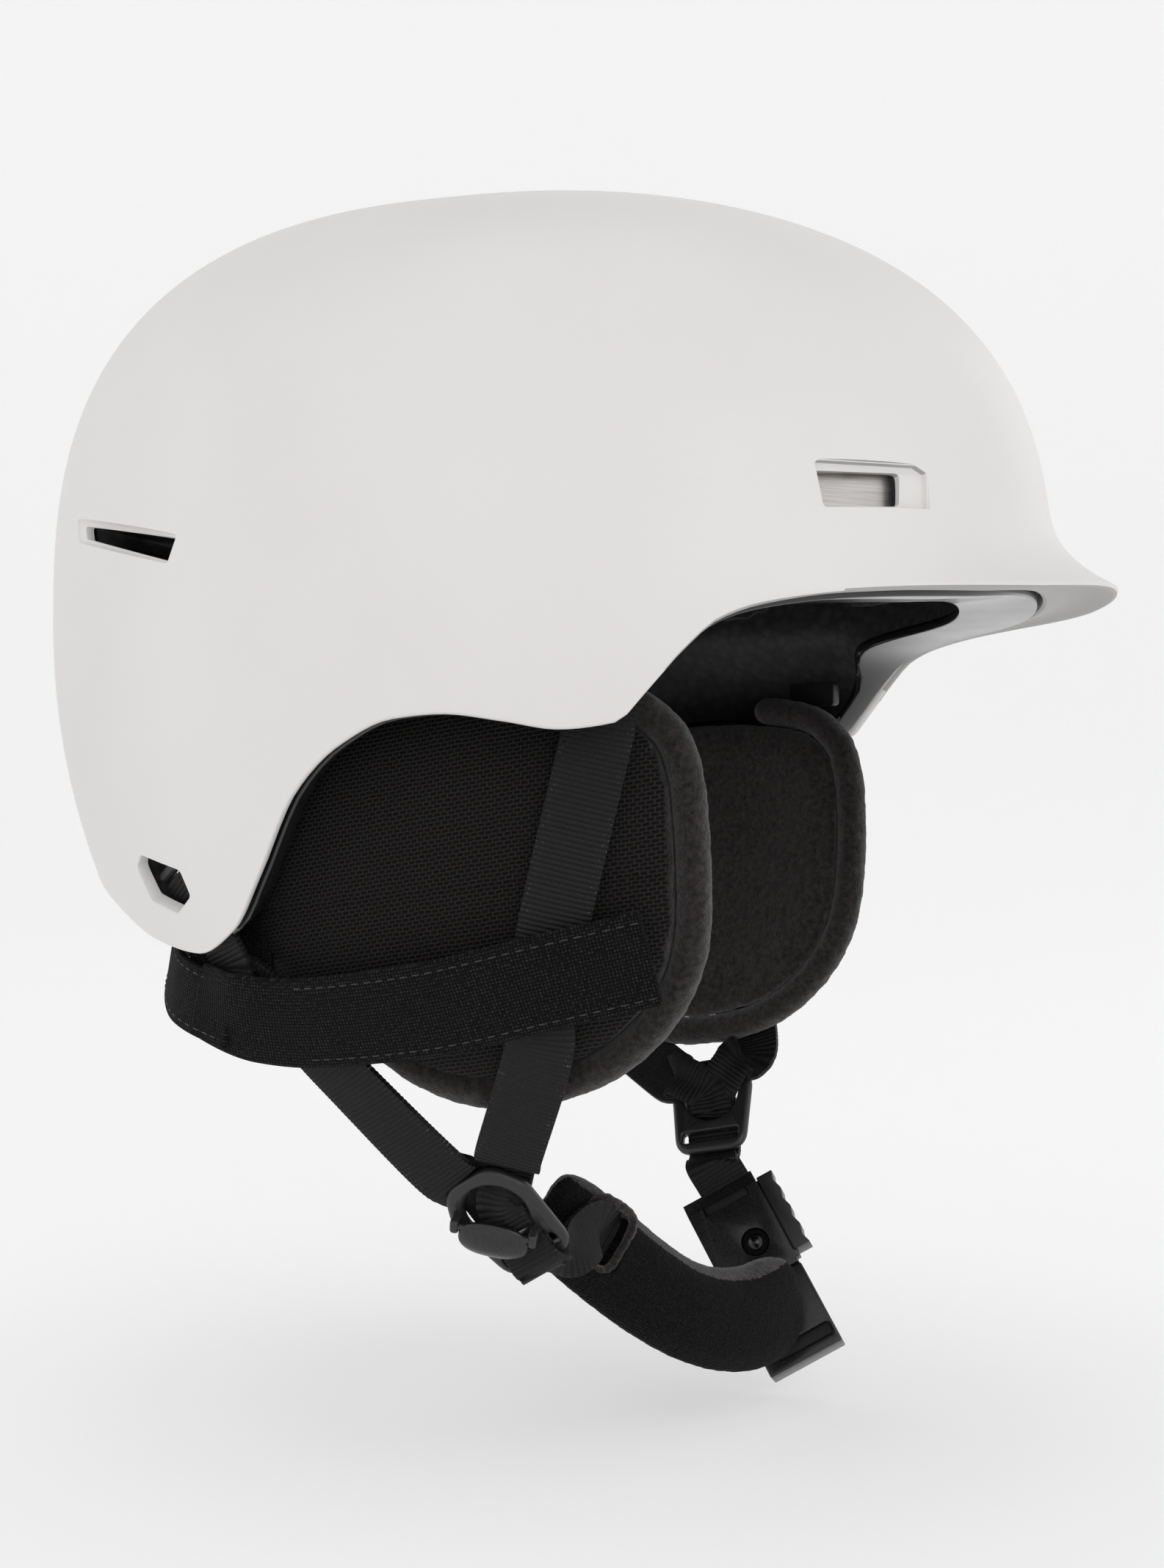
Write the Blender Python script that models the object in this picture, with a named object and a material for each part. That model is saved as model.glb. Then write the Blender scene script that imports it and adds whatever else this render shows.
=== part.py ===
"""Snow helmet: hard shell with a small brim, foam liner, soft ear flaps, webbing harness and buckle.

Frame: origin at the centre of the head at ear level, +Z up, the brim points to -Y, wearer's left is +X.
Azimuths are measured from the front (-Y) towards the wearer's left (+X). Everything is in metres.
"""

import math

import bmesh
import bpy
from mathutils import Matrix, Vector

MM = 0.001
GAP = 0.4 * MM                       # clearance between pieces that touch on the real helmet

# shell
SHELL_FRONT = 134.5 * MM             # centre of the head to the forehead wall
SHELL_REAR = 129.0 * MM
SHELL_HALF_WIDTH = 113.0 * MM
CROWN_RISE = 106.0 * MM              # crown above the widest level
WIDEST_LEVEL = 41.0 * MM
SHELL_WALL = 3.0 * MM
BRIM_REACH = 16.5 * MM               # how far the brim stands out from the forehead
BRIM_HALF_ANGLE = 52.0               # degrees each side of the front
FRONT_SQUARENESS = 2.8
REAR_SQUARENESS = 2.75
SIDE_SQUARENESS = 3.2
PLAN_SQUARENESS = 2.15
FRONT_TUCK = 176.0 * MM              # half-height of the ellipse that draws each wall in below the widest level
REAR_TUCK = 150.0 * MM
SIDE_TUCK = 186.0 * MM

# lower edge of the shell: (azimuth in degrees, height in mm), the same on both sides
SHELL_EDGE = [
    (0, 47), (18, 44.5), (36, 42), (45, 39), (49.5, 35.5), (53, 29), (56.5, 20.5), (60, 13),
    (66, 11.5), (72, 13.3), (79, 15), (85, 14), (92, 8), (98, -2), (105, -22), (111, -35),
    (119, -41), (129, -38.5), (140, -31), (151, -24.5), (163, -21.5), (180, -20.5),
]

# foam liner and the trim ring that caps its lower edge
LINER_THICKNESS = 20.0 * MM
LINER_EAR_THICKNESS = 6.5 * MM       # where the liner thins beside the ears
RIM_HEIGHT = 3.0 * MM
RIM_DROP = 1.0 * MM                  # how far the trim ring shows below the shell
LINER_GAP = 1.1 * MM                 # bond line between shell and liner
FIT_PAD = 7.0 * MM

# ear flaps: outline of the rolled binding's outer edge, (y, z) in mm, clockwise from the top rear
EAR_OUTLINE = [
    (32, 6), (10, 21), (-22, 26), (-50, 24), (-63, 17), (-69, 6), (-71, -12), (-70.5, -32),
    (-67, -46), (-59, -58.5), (-47, -68.5), (-32, -74.5), (-14, -76.5), (2, -71.5), (15, -61),
    (25, -46), (33, -24), (36, -6),
]
EAR_SPREAD = SHELL_HALF_WIDTH - 17.5 * MM    # half-distance between the outer faces at ear level
EAR_PANEL = 5.0 * MM                 # mesh outer panel
EAR_CUSHION = 10.0 * MM              # fleece inner cushion
BINDING_RADIUS = 4.2 * MM

# webbing and bands
WEBBING_WIDTH = 16.0 * MM
WEBBING_THICKNESS = 1.4 * MM
BAND_WIDTH = 22.5 * MM
BAND_THICKNESS = 2.2 * MM

# strap dividers
RING_RADIUS = 12.0 * MM
RING_HOLE = 8.0 * MM
DIVIDER_THICKNESS = 3.0 * MM
DIVIDER_SLOT = 3.2 * MM
DIVIDER_BAR = 3.2 * MM
LOCK_LENGTH = 16.5 * MM
LOCK_WIDTH = 9.0 * MM
LOCK_THICKNESS = 3.4 * MM
LOCK_TURN = 45.0                     # degrees the lock's pin is turned in the ring's plane, towards the straps
PIN_RADIUS = 0.8 * MM
PIN_CLEARANCE = 0.35 * MM

# chin pad and buckle
CHIN_PAD_WIDTH = 38.0 * MM
CHIN_PAD_THICKNESS = 9.0 * MM
BUCKLE_WIDTH = 27.0 * MM
BUCKLE_BODY = 31.0 * MM
BUCKLE_TONGUE = 14.0 * MM
BUCKLE_THICKNESS = 10.0 * MM
MAGNET_RADIUS = 3.6 * MM
SLIDER_WIDTH = 5.0 * MM
SLIDER_TRAVEL = 2.5 * MM             # free room behind the release slider

# rear goggle retainer
RETAINER_WIDTH = 30.0 * MM
RETAINER_HEIGHT = 24.0 * MM
RETAINER_PLATE = 2.6 * MM
STRAP_ROOM = 6.4 * MM                # room over the seat for a goggle strap, to the lever's outside

SHELL_SEGMENTS = 72
SHELL_ROWS = 12
LINER_SEGMENTS = 60
LINER_ROWS = 9


# ---------------------------------------------------------------- helpers

def clear_scene():
    for obj in list(bpy.data.objects):
        bpy.data.objects.remove(obj, do_unlink=True)


def material(name, color, roughness, metallic=0.0):
    mat = bpy.data.materials.get(name)
    if mat:
        return mat
    mat = bpy.data.materials.new(name)
    mat.use_nodes = True
    shader = mat.node_tree.nodes["Principled BSDF"]
    shader.inputs["Base Color"].default_value = (*color, 1.0)
    shader.inputs["Roughness"].default_value = roughness
    shader.inputs["Metallic"].default_value = metallic
    return mat


def finish(bm, name, mat, matrix=None, smooth=True):
    """Turns a bmesh into a linked object, placed by its matrix."""
    bmesh.ops.recalc_face_normals(bm, faces=bm.faces)
    if bm.calc_volume(signed=True) < 0:
        bmesh.ops.reverse_faces(bm, faces=bm.faces)
    mesh = bpy.data.meshes.new(name)
    bm.to_mesh(mesh)
    bm.free()
    mesh.materials.append(material(*mat))
    if smooth:
        mesh.shade_smooth()
        mesh.set_sharp_from_angle(angle=math.radians(40))
    obj = bpy.data.objects.new(name, mesh)
    bpy.context.scene.collection.objects.link(obj)
    if matrix is not None:
        obj.matrix_world = matrix
    return obj


def cut(obj, cutter):
    """Subtracts a cutter, which stays in the scene as a wire guide."""
    cutter.hide_render = True
    cutter.display_type = "WIRE"
    mod = obj.modifiers.new("cut_" + cutter.name, "BOOLEAN")
    mod.operation = "DIFFERENCE"
    mod.solver = "EXACT"
    mod.object = cutter


def smoothstep(low, high, value):
    t = min(1.0, max(0.0, (value - low) / (high - low)))
    return t * t * (3 - 2 * t)


def through(points, t):
    """Catmull-Rom curve through the points, t from 0 to 1."""
    count = len(points) - 1
    i = min(int(t * count), count - 1)
    f = t * count - i
    p = [Vector(points[max(0, min(count, j))]) for j in (i - 1, i, i + 1, i + 2)]
    return 0.5 * ((2 * p[1]) + (p[2] - p[0]) * f + (2 * p[0] - 5 * p[1] + 4 * p[2] - p[3]) * f ** 2
                  + (3 * p[1] - p[0] - 3 * p[2] + p[3]) * f ** 3)


def through_loop(points, t):
    """The same for a closed loop, t from 0 to 1."""
    count = len(points)
    i = int(t * count) % count
    f = t * count - int(t * count)
    p = [Vector(points[j % count]) for j in (i - 1, i, i + 1, i + 2)]
    return 0.5 * ((2 * p[1]) + (p[2] - p[0]) * f + (2 * p[0] - 5 * p[1] + 4 * p[2] - p[3]) * f ** 2
                  + (3 * p[1] - p[0] - 3 * p[2] + p[3]) * f ** 3)


# ---------------------------------------------------------------- the dome

def wall_radius(polar, reach, squareness, tuck):
    """Distance from the dome's centre to one wall's outline at a polar angle from the crown."""
    s, c = abs(math.sin(polar)), math.cos(polar)
    if c >= 0:
        return ((s / reach) ** squareness + (c / CROWN_RISE) ** squareness) ** (-1 / squareness)
    return ((s / reach) ** 2 + (c / tuck) ** 2) ** -0.5


def dome_radius(azimuth, polar):
    ca, sa = math.cos(azimuth), math.sin(azimuth)
    if ca > 0:
        lengthwise = wall_radius(polar, SHELL_FRONT, FRONT_SQUARENESS, FRONT_TUCK)
    else:
        lengthwise = wall_radius(polar, SHELL_REAR, REAR_SQUARENESS, REAR_TUCK)
    sideways = wall_radius(polar, SHELL_HALF_WIDTH, SIDE_SQUARENESS, SIDE_TUCK)
    n = 2 + (PLAN_SQUARENESS - 2) * math.sin(polar) ** 2
    return ((abs(ca) / lengthwise) ** n + (abs(sa) / sideways) ** n) ** (-1 / n)


def dome_point(azimuth, polar, inset=0.0):
    """Point on the dome, or inset from it. Angles in radians."""
    r = dome_radius(azimuth, polar) - inset
    x = r * math.sin(polar) * math.sin(azimuth)
    y = -r * math.sin(polar) * math.cos(azimuth)
    return Vector((x, y, WIDEST_LEVEL + r * math.cos(polar)))


def polar_at(azimuth, height):
    """Polar angle at which the outer dome reaches a height."""
    low, high = 0.0, math.radians(150)
    for _ in range(40):
        mid = (low + high) / 2
        if dome_point(azimuth, mid).z > height:
            low = mid
        else:
            high = mid
    return (low + high) / 2


def edge_height(azimuth):
    """Height of the shell's lower edge, by a monotone curve through SHELL_EDGE."""
    a = abs(math.degrees(math.atan2(math.sin(azimuth), math.cos(azimuth))))
    pts = SHELL_EDGE
    i = max(j for j in range(len(pts) - 1) if pts[j][0] <= a)
    slopes = [(pts[j + 1][1] - pts[j][1]) / (pts[j + 1][0] - pts[j][0]) for j in range(len(pts) - 1)]

    def tangent(j):
        if j in (0, len(pts) - 1) or slopes[j - 1] * slopes[j] <= 0:
            return 0.0
        return 2 * slopes[j - 1] * slopes[j] / (slopes[j - 1] + slopes[j])

    step = pts[i + 1][0] - pts[i][0]
    f = (a - pts[i][0]) / step
    h = ((2 * f ** 3 - 3 * f ** 2 + 1) * pts[i][1] + (f ** 3 - 2 * f ** 2 + f) * step * tangent(i)
         + (3 * f ** 2 - 2 * f ** 3) * pts[i + 1][1] + (f ** 3 - f ** 2) * step * tangent(i + 1))
    return h * MM


def brim_flare(azimuth, height):
    """How far the brim stands out at an azimuth and height."""
    a = math.degrees(math.atan2(math.sin(azimuth), math.cos(azimuth)))
    side = 1 - smoothstep(0, BRIM_HALF_ANGLE, abs(a))
    above = (height - edge_height(azimuth)) / (26 * MM)
    return BRIM_REACH * side * max(0.0, 1 - above) ** 3


def liner_thickness(azimuth, height):
    """Thick over the head, thin beside the ears."""
    a = abs(math.degrees(math.atan2(math.sin(azimuth), math.cos(azimuth))))
    beside_ear = smoothstep(42, 54, a) * (1 - smoothstep(130, 152, a))
    thin = beside_ear * (1 - smoothstep(24 * MM, 46 * MM, height))
    return LINER_THICKNESS - (LINER_THICKNESS - LINER_EAR_THICKNESS) * thin


def bowl(name, segments, rows, outer, inner, mat):
    """Closed bowl: the upper rings of a sphere become its outside, the lower ones its inside.

    outer and inner take an azimuth and a share of the way from crown to edge, and give a point.
    """
    bm = bmesh.new()
    rings = 2 * rows + 1
    bmesh.ops.create_uvsphere(bm, u_segments=segments, v_segments=rings, radius=1.0)
    for v in bm.verts:
        ring = round(math.acos(max(-1, min(1, v.co.z))) / math.pi * rings)
        azimuth = math.atan2(v.co.x, -v.co.y)
        if ring <= rows:
            v.co = outer(azimuth, ring / rows)
        else:
            v.co = inner(azimuth, (rings - ring) / rows)
    return finish(bm, name, mat)


def pillow(name, place, segments, rings, mat, roundness=0.5):
    """Closed crowned slab: place(share from centre, angle, side from -1 to 1) gives a point."""
    bm = bmesh.new()
    bmesh.ops.create_uvsphere(bm, u_segments=segments, v_segments=rings, radius=1.0)
    for v in bm.verts:
        polar = math.acos(max(-1, min(1, v.co.z)))
        angle = math.atan2(v.co.y, v.co.x)
        share = math.sin(polar) ** roundness
        side = math.copysign(abs(math.cos(polar)) ** roundness, math.cos(polar))
        v.co = place(share, angle, side)
    return finish(bm, name, mat)


def rounded_square(share, angle, sharpness=4):
    """Coordinates from -1 to 1 in a square with round corners."""
    c, s = math.cos(angle), math.sin(angle)
    k = share / (abs(c) ** sharpness + abs(s) ** sharpness) ** (1 / sharpness)
    return k * c, k * s


# ---------------------------------------------------------------- strips and plates

def ribbon(name, points, facing, width, thickness, mat, samples=14):
    """Flat strip along a curve. facing lists the outward normal at each point."""
    bm = bmesh.new()
    bmesh.ops.create_grid(bm, x_segments=samples, y_segments=1, size=0.5)
    for v in bm.verts:
        t = min(1.0, max(0.0, v.co.x + 0.5))
        here = through(points, t)
        step = 0.01
        along = (through(points, min(1, t + step)) - through(points, max(0, t - step))).normalized()
        normal = through(facing, t)
        across = along.cross(normal).normalized()
        v.co = here + across * (width * math.copysign(0.5, v.co.y))
    obj = finish(bm, name, mat, smooth=False)
    mod = obj.modifiers.new("thickness", "SOLIDIFY")
    mod.thickness = thickness
    mod.offset = 0.0
    return obj


def tube(name, points, radius, mat, count=26, sides=2):
    """Round cord-like roll through the points, with closed ends."""
    curve = bpy.data.curves.new(name, "CURVE")
    curve.dimensions = "3D"
    curve.bevel_depth = radius
    curve.bevel_resolution = sides
    curve.use_fill_caps = True
    spline = curve.splines.new("POLY")
    spline.points.add(count - 1)
    for i in range(count):
        spline.points[i].co = (*through(points, i / (count - 1)), 1.0)
    curve.materials.append(material(*mat))
    obj = bpy.data.objects.new(name, curve)
    bpy.context.scene.collection.objects.link(obj)
    return obj


def plate(name, outline, low, high, mat, matrix):
    """Flat outline (list of 2-D points) extruded from low to high along its own Z."""
    bm = bmesh.new()
    verts = [bm.verts.new((x, y, low)) for x, y in outline]
    face = bm.faces.new(verts)
    grown = bmesh.ops.extrude_face_region(bm, geom=[face])["geom"]
    moved = [g for g in grown if isinstance(g, bmesh.types.BMVert)]
    bmesh.ops.translate(bm, verts=moved, vec=(0, 0, high - low))
    return finish(bm, name, mat, matrix)


def round_box(half_x, half_y, radius, steps=4, centre=(0.0, 0.0)):
    """Outline of a rectangle with round corners."""
    points = []
    for quarter, (sx, sy) in enumerate(((1, 1), (-1, 1), (-1, -1), (1, -1))):
        for i in range(steps + 1):
            a = math.radians(90 * quarter + 90 * i / steps)
            x = centre[0] + sx * (half_x - radius) + radius * math.cos(a)
            y = centre[1] + sy * (half_y - radius) + radius * math.sin(a)
            points.append((x, y))
    return points


def circle(radius, steps, centre=(0.0, 0.0)):
    turn = 2 * math.pi / steps
    return [(centre[0] + radius * math.cos(i * turn), centre[1] + radius * math.sin(i * turn))
            for i in range(steps)]


def hull(points):
    """Convex outline round a set of 2-D points."""
    pts = sorted(set((round(x, 7), round(y, 7)) for x, y in points))

    def half(seq):
        out = []
        for p in seq:
            while len(out) > 1 and ((out[-1][0] - out[-2][0]) * (p[1] - out[-2][1])
                                    - (out[-1][1] - out[-2][1]) * (p[0] - out[-2][0])) <= 1e-12:
                out.pop()
            out.append(p)
        return out[:-1]

    return half(pts) + half(reversed(pts))


def axes_at(origin, x_axis, z_axis):
    """Matrix whose Z is z_axis and whose X lies as near x_axis as it can."""
    z = Vector(z_axis).normalized()
    x = (Vector(x_axis) - z * Vector(x_axis).dot(z)).normalized()
    y = z.cross(x)
    rot = Matrix((x, y, z)).transposed().to_4x4()
    return Matrix.Translation(Vector(origin)) @ rot


def cylinder(name, radius, length, mat, matrix, sides=16):
    """Round bar centred on its matrix, along Z."""
    return plate(name, circle(radius, sides), -length / 2, length / 2, mat, matrix)


# ---------------------------------------------------------------- materials

MATTE_SHELL = ("shell_white", (0.74, 0.72, 0.71), 0.55)
FOAM = ("liner_foam", (0.012, 0.012, 0.013), 0.8)
TRIM = ("trim_black", (0.01, 0.01, 0.011), 0.2)
FLEECE = ("fleece", (0.02, 0.017, 0.016), 1.0)
MESH_KNIT = ("mesh_knit", (0.014, 0.014, 0.015), 0.9)
CANVAS = ("canvas", (0.018, 0.018, 0.019), 0.9)
WEBBING = ("webbing", (0.012, 0.012, 0.013), 0.7)
BLACK_PLASTIC = ("black_plastic", (0.012, 0.012, 0.013), 0.45)
STEEL = ("brushed_plate", (0.55, 0.54, 0.52), 0.3, 1.0)


# ---------------------------------------------------------------- shell and liner

def shell_edge_polar(azimuth):
    return polar_at(azimuth, edge_height(azimuth))


def row_share(share):
    """Rows gather towards the lower edge, where the brim turns out."""
    return share ** 0.8


def shell_inside(azimuth, share):
    """The inner wall doesn't follow the brim, so that the brim is closed underneath."""
    return dome_point(azimuth, shell_edge_polar(azimuth) * row_share(share), SHELL_WALL)


def shell_outside(azimuth, share):
    point = dome_point(azimuth, shell_edge_polar(azimuth) * row_share(share))
    flare = brim_flare(azimuth, point.z)
    return point + Vector((flare * math.sin(azimuth), -flare * math.cos(azimuth), 0))


def vent_frame(azimuth_deg, height, roll_deg=0.0):
    """Matrix on the shell's outside: Z outwards, X along the wall towards the rear on the left side."""
    azimuth = math.radians(azimuth_deg)
    polar = polar_at(azimuth, height)
    step = 0.01
    here = dome_point(azimuth, polar)
    along = dome_point(azimuth + step, polar) - dome_point(azimuth - step, polar)
    down = dome_point(azimuth, polar + step) - dome_point(azimuth, polar - step)
    normal = along.cross(down).normalized()
    if normal.dot(here - Vector((0, 0, WIDEST_LEVEL))) < 0:
        normal = -normal
    return axes_at(here, along, normal) @ Matrix.Rotation(math.radians(roll_deg), 4, "Z")


FRONT_VENT = {"azimuth": 34.0, "height": 65.8 * MM, "half": (11.0 * MM, 3.9 * MM)}
REAR_VENT = {"azimuth": 124.0, "height": 58.0 * MM}
HEX_VENT = {"azimuth": 122.5, "height": -24.0 * MM}
TOP_VENT = {"x": 42.0 * MM, "y": 8.0 * MM, "half": (17.0 * MM, 4.0 * MM)}
VENT_DEPTH = 6.0 * MM                # how far the plate lies behind the shell's face
VENT_PLATE = 0.8 * MM


def vent_outlines(side):
    """(name, matrix, outline) of each vent on one side; side is +1 left, -1 right."""
    front = vent_frame(side * FRONT_VENT["azimuth"], FRONT_VENT["height"])
    hx, hy = FRONT_VENT["half"]
    front_outline = round_box(hx, hy, 1.2 * MM, 2)
    rear = vent_frame(side * REAR_VENT["azimuth"], REAR_VENT["height"], 6.0 * side)
    wide, narrow, half = 3.4 * MM, 1.8 * MM, 19.5 * MM
    rear_outline = [(-side * half, -wide), (side * half, -narrow), (side * half, narrow), (-side * half, wide)]
    if side < 0:
        rear_outline.reverse()
    hexa = vent_frame(side * HEX_VENT["azimuth"], HEX_VENT["height"], 24.0 * side)
    hex_outline = [(9 * MM, 1.5 * MM), (6 * MM, 5 * MM), (-6 * MM, 5 * MM), (-9 * MM, -1 * MM),
                   (-6 * MM, -5 * MM), (5 * MM, -5 * MM)]
    top = axes_at(Vector((side * TOP_VENT["x"], TOP_VENT["y"], WIDEST_LEVEL + CROWN_RISE)), (0, 1, 0), (0, 0, 1))
    top_outline = round_box(*TOP_VENT["half"], 2.0 * MM, 2)
    return [("front_vent", front, front_outline), ("rear_vent", rear, rear_outline),
            ("hex_vent", hexa, hex_outline), ("top_vent", top, top_outline)]


def build_shell():
    shell = bowl("outer_shell", SHELL_SEGMENTS, SHELL_ROWS, shell_outside, shell_inside, MATTE_SHELL)
    for side, tag in ((1, "left"), (-1, "right")):
        for name, matrix, outline in vent_outlines(side):
            reach = 20 * MM if name == "top_vent" else 8 * MM
            cutter = plate(f"cut_shell_{name}_{tag}", outline, -reach, reach, MATTE_SHELL, matrix)
            cut(shell, cutter)
    return shell


def liner_outside_inset():
    return SHELL_WALL + LINER_GAP


def liner_edge_polar(azimuth, lift=0.0):
    """The liner stops above the shell's edge, by the trim ring's height."""
    return polar_at(azimuth, edge_height(azimuth) + RIM_HEIGHT + GAP - RIM_DROP + lift)


def build_liner():
    def outer(a, s):
        return dome_point(a, liner_edge_polar(a) * row_share(s), liner_outside_inset())

    def inner(a, s):
        polar = liner_edge_polar(a) * row_share(s)
        height = dome_point(a, polar).z
        return dome_point(a, polar, liner_outside_inset() + liner_thickness(a, height))

    liner = bowl("foam_liner", LINER_SEGMENTS, LINER_ROWS, outer, inner, FOAM)
    for side, tag in ((1, "left"), (-1, "right")):
        for name, matrix, outline in vent_outlines(side):
            grown = [(x * 1.15, y * 1.3) for x, y in outline]
            deep = -(VENT_DEPTH + VENT_PLATE + 2 * GAP) if name == "front_vent" else -60 * MM
            if name == "hex_vent":
                grown = round_box(15 * MM, 13 * MM, 2 * MM, 2, (side * 2 * MM, 5 * MM))
            cutter = plate(f"cut_liner_{name}_{tag}", grown, deep, 8 * MM, FOAM, matrix)
            cut(liner, cutter)
        cut(liner, strap_notch(f"cut_liner_strap_{tag}", side))
    return liner


def build_vent_plates():
    """Plain brushed plates at the bottom of the front vents."""
    for side, tag in ((1, "left"), (-1, "right")):
        matrix = vent_frame(side * FRONT_VENT["azimuth"], FRONT_VENT["height"])
        hx, hy = FRONT_VENT["half"]
        outline = round_box(hx * 1.15 - GAP, hy * 1.3 - GAP, 1.0 * MM, 2)
        plate(f"vent_plate_{tag}", outline, -(VENT_DEPTH + VENT_PLATE), -VENT_DEPTH, STEEL, matrix)


def build_rim():
    """Gloss trim ring that caps the liner's lower edge all round, as a closed band of quads."""
    bm = bmesh.new()
    segments = LINER_SEGMENTS
    bmesh.ops.create_cone(bm, segments=segments, radius1=1.0, radius2=1.0, depth=2.0, cap_ends=False)
    bmesh.ops.recalc_face_normals(bm, faces=bm.faces)
    wall = list(bm.faces)
    grown = bmesh.ops.extrude_face_region(bm, geom=wall)["geom"]
    inner = {g for g in grown if isinstance(g, bmesh.types.BMVert)}
    for v in bm.verts:
        a = math.atan2(v.co.x, -v.co.y)
        low = v.co.z < 0
        height = edge_height(a) - RIM_DROP + (0 if low else RIM_HEIGHT)
        polar = polar_at(a, height)
        inset = liner_outside_inset()
        if v in inner:
            inset += liner_thickness(a, height + GAP)
        v.co = dome_point(a, polar, inset)
    trim = finish(bm, "liner_trim", TRIM)
    for side, tag in ((1, "left"), (-1, "right")):
        cut(trim, strap_notch(f"cut_trim_strap_{tag}", side))
    return trim


def dome_pad(name, azimuth, half_angle, top, bottom, follow=False):
    """Fleece pad on the liner's inside, between two heights; bottom may follow the shell's edge instead."""
    def place(share, angle, side):
        p, q = rounded_square(share, angle)
        a = math.radians(azimuth + p * half_angle)
        low = edge_height(a) + bottom if follow else bottom
        height = (top + low) / 2 + q * (top - low) / 2
        polar = polar_at(a, height)
        inset = liner_outside_inset() + liner_thickness(a, height) + GAP * 4 + FIT_PAD * (1 - side) / 2
        return dome_point(a, polar, inset)

    return pillow(name, place, 20, 6, FLEECE)


def build_fit_pads():
    dome_pad("brow_pad", 0, 50, 92 * MM, 8 * MM, follow=True)
    dome_pad("side_pad_left", 88, 26, 78 * MM, 48 * MM)
    dome_pad("side_pad_right", -88, 26, 78 * MM, 48 * MM)
    dome_pad("nape_pad", 180, 44, 34 * MM, 2 * MM)

    def crown(share, angle, side):
        p, q = rounded_square(share, angle)
        polar = math.radians(27) * math.hypot(p, q)
        inset = liner_outside_inset() + LINER_THICKNESS + GAP * 2 + FIT_PAD * (1 - side) / 2
        return dome_point(math.atan2(p, q), polar, inset)

    pillow("crown_pad", crown, 20, 6, FLEECE)


# ---------------------------------------------------------------- ear flaps

def ear_surface(side, y, z, depth=0.0):
    """Point on the flap's outer face; depth is measured inwards."""
    forward = min(0.0, y + 10 * MM)
    back = max(0.0, y)
    down = min(0.0, z)
    x = EAR_SPREAD - 4.5 * forward ** 2 - 3.2 * back ** 2 - 3.2 * down ** 2
    return Vector((side * (x - depth), y, z))


def ear_outline(t, shrink=0.0):
    """Outline of the flap drawn in by a distance, t from 0 to 1."""
    points = [(y * MM, z * MM) for y, z in EAR_OUTLINE]
    here = through_loop(points, t)
    step = 0.004
    along = (through_loop(points, (t + step) % 1) - through_loop(points, (t - step) % 1)).normalized()
    return here + Vector((along.y, -along.x)) * -shrink


def build_ear_flap(side, tag):
    centre = Vector((-16 * MM, -24 * MM))
    body_shrink = 2 * BINDING_RADIUS + GAP

    def slab(near, far, extra):
        def place(share, angle, face):
            t = (angle / (2 * math.pi)) % 1.0
            rim = ear_outline(t, body_shrink + extra)
            y, z = centre + (rim - centre) * share
            return ear_surface(side, y, z, (near + far) / 2 - face * (far - near) / 2)
        return place

    pillow(f"ear_panel_{tag}", slab(0.0, EAR_PANEL, 0.0), 32, 8, MESH_KNIT, 0.42)
    inner = EAR_PANEL + GAP
    pillow(f"ear_cushion_{tag}", slab(inner, inner + EAR_CUSHION, 0.0), 32, 8, FLEECE, 0.42)
    roll_depth = (EAR_PANEL + EAR_CUSHION) / 2
    first, last = 0.135, 0.80
    count = 15
    route = []
    for i in range(count):
        y, z = ear_outline(first + (last - first) * i / (count - 1), BINDING_RADIUS)
        route.append(ear_surface(side, y, z, roll_depth))
    tube(f"ear_binding_{tag}", route, BINDING_RADIUS, FLEECE, 30)


# ---------------------------------------------------------------- bands and straps

def ear_normal(side, y, z):
    """Outward normal of the flap's outer face."""
    step = 1.0 * MM
    along_y = ear_surface(side, y + step, z) - ear_surface(side, y - step, z)
    along_z = ear_surface(side, y, z + step) - ear_surface(side, y, z - step)
    return side * along_y.cross(along_z).normalized()


def on_flap(side, lifts, path):
    """Points on the flap's outer face, each lifted off it, and the normals there; path is (y, z) in mm."""
    points = [ear_surface(side, y * MM, z * MM, -lift) for (y, z), lift in zip(path, lifts)]
    normals = [ear_normal(side, y * MM, z * MM) for y, z in path]
    return points, normals


STRAP_LIFT = 1.6 * MM + WEBBING_THICKNESS / 2         # the panel is crowned, so straps lie a little off it
BAND_LIFT = STRAP_LIFT + WEBBING_THICKNESS / 2 + BAND_THICKNESS / 2 + 1.0 * MM
BAND_PATH = [(-61, -38.8), (-36, -45), (-12, -51), (10, -54.5), (26, -56), (41, -55)]
BAND_STAND = (0.0, 0.0, 0.3, 1.0, 2.0, 4.0)           # extra lift towards the rear, where the rear strap passes under
NAPE_REACH = 82.0 * MM               # middle of the band behind the neck
NAPE_LEVEL = -32.0 * MM
NAPE_WIDTH = 14.0 * MM
BAND_JOIN = 1.8 * MM                 # gap where the flap's band meets the nape band


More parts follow.
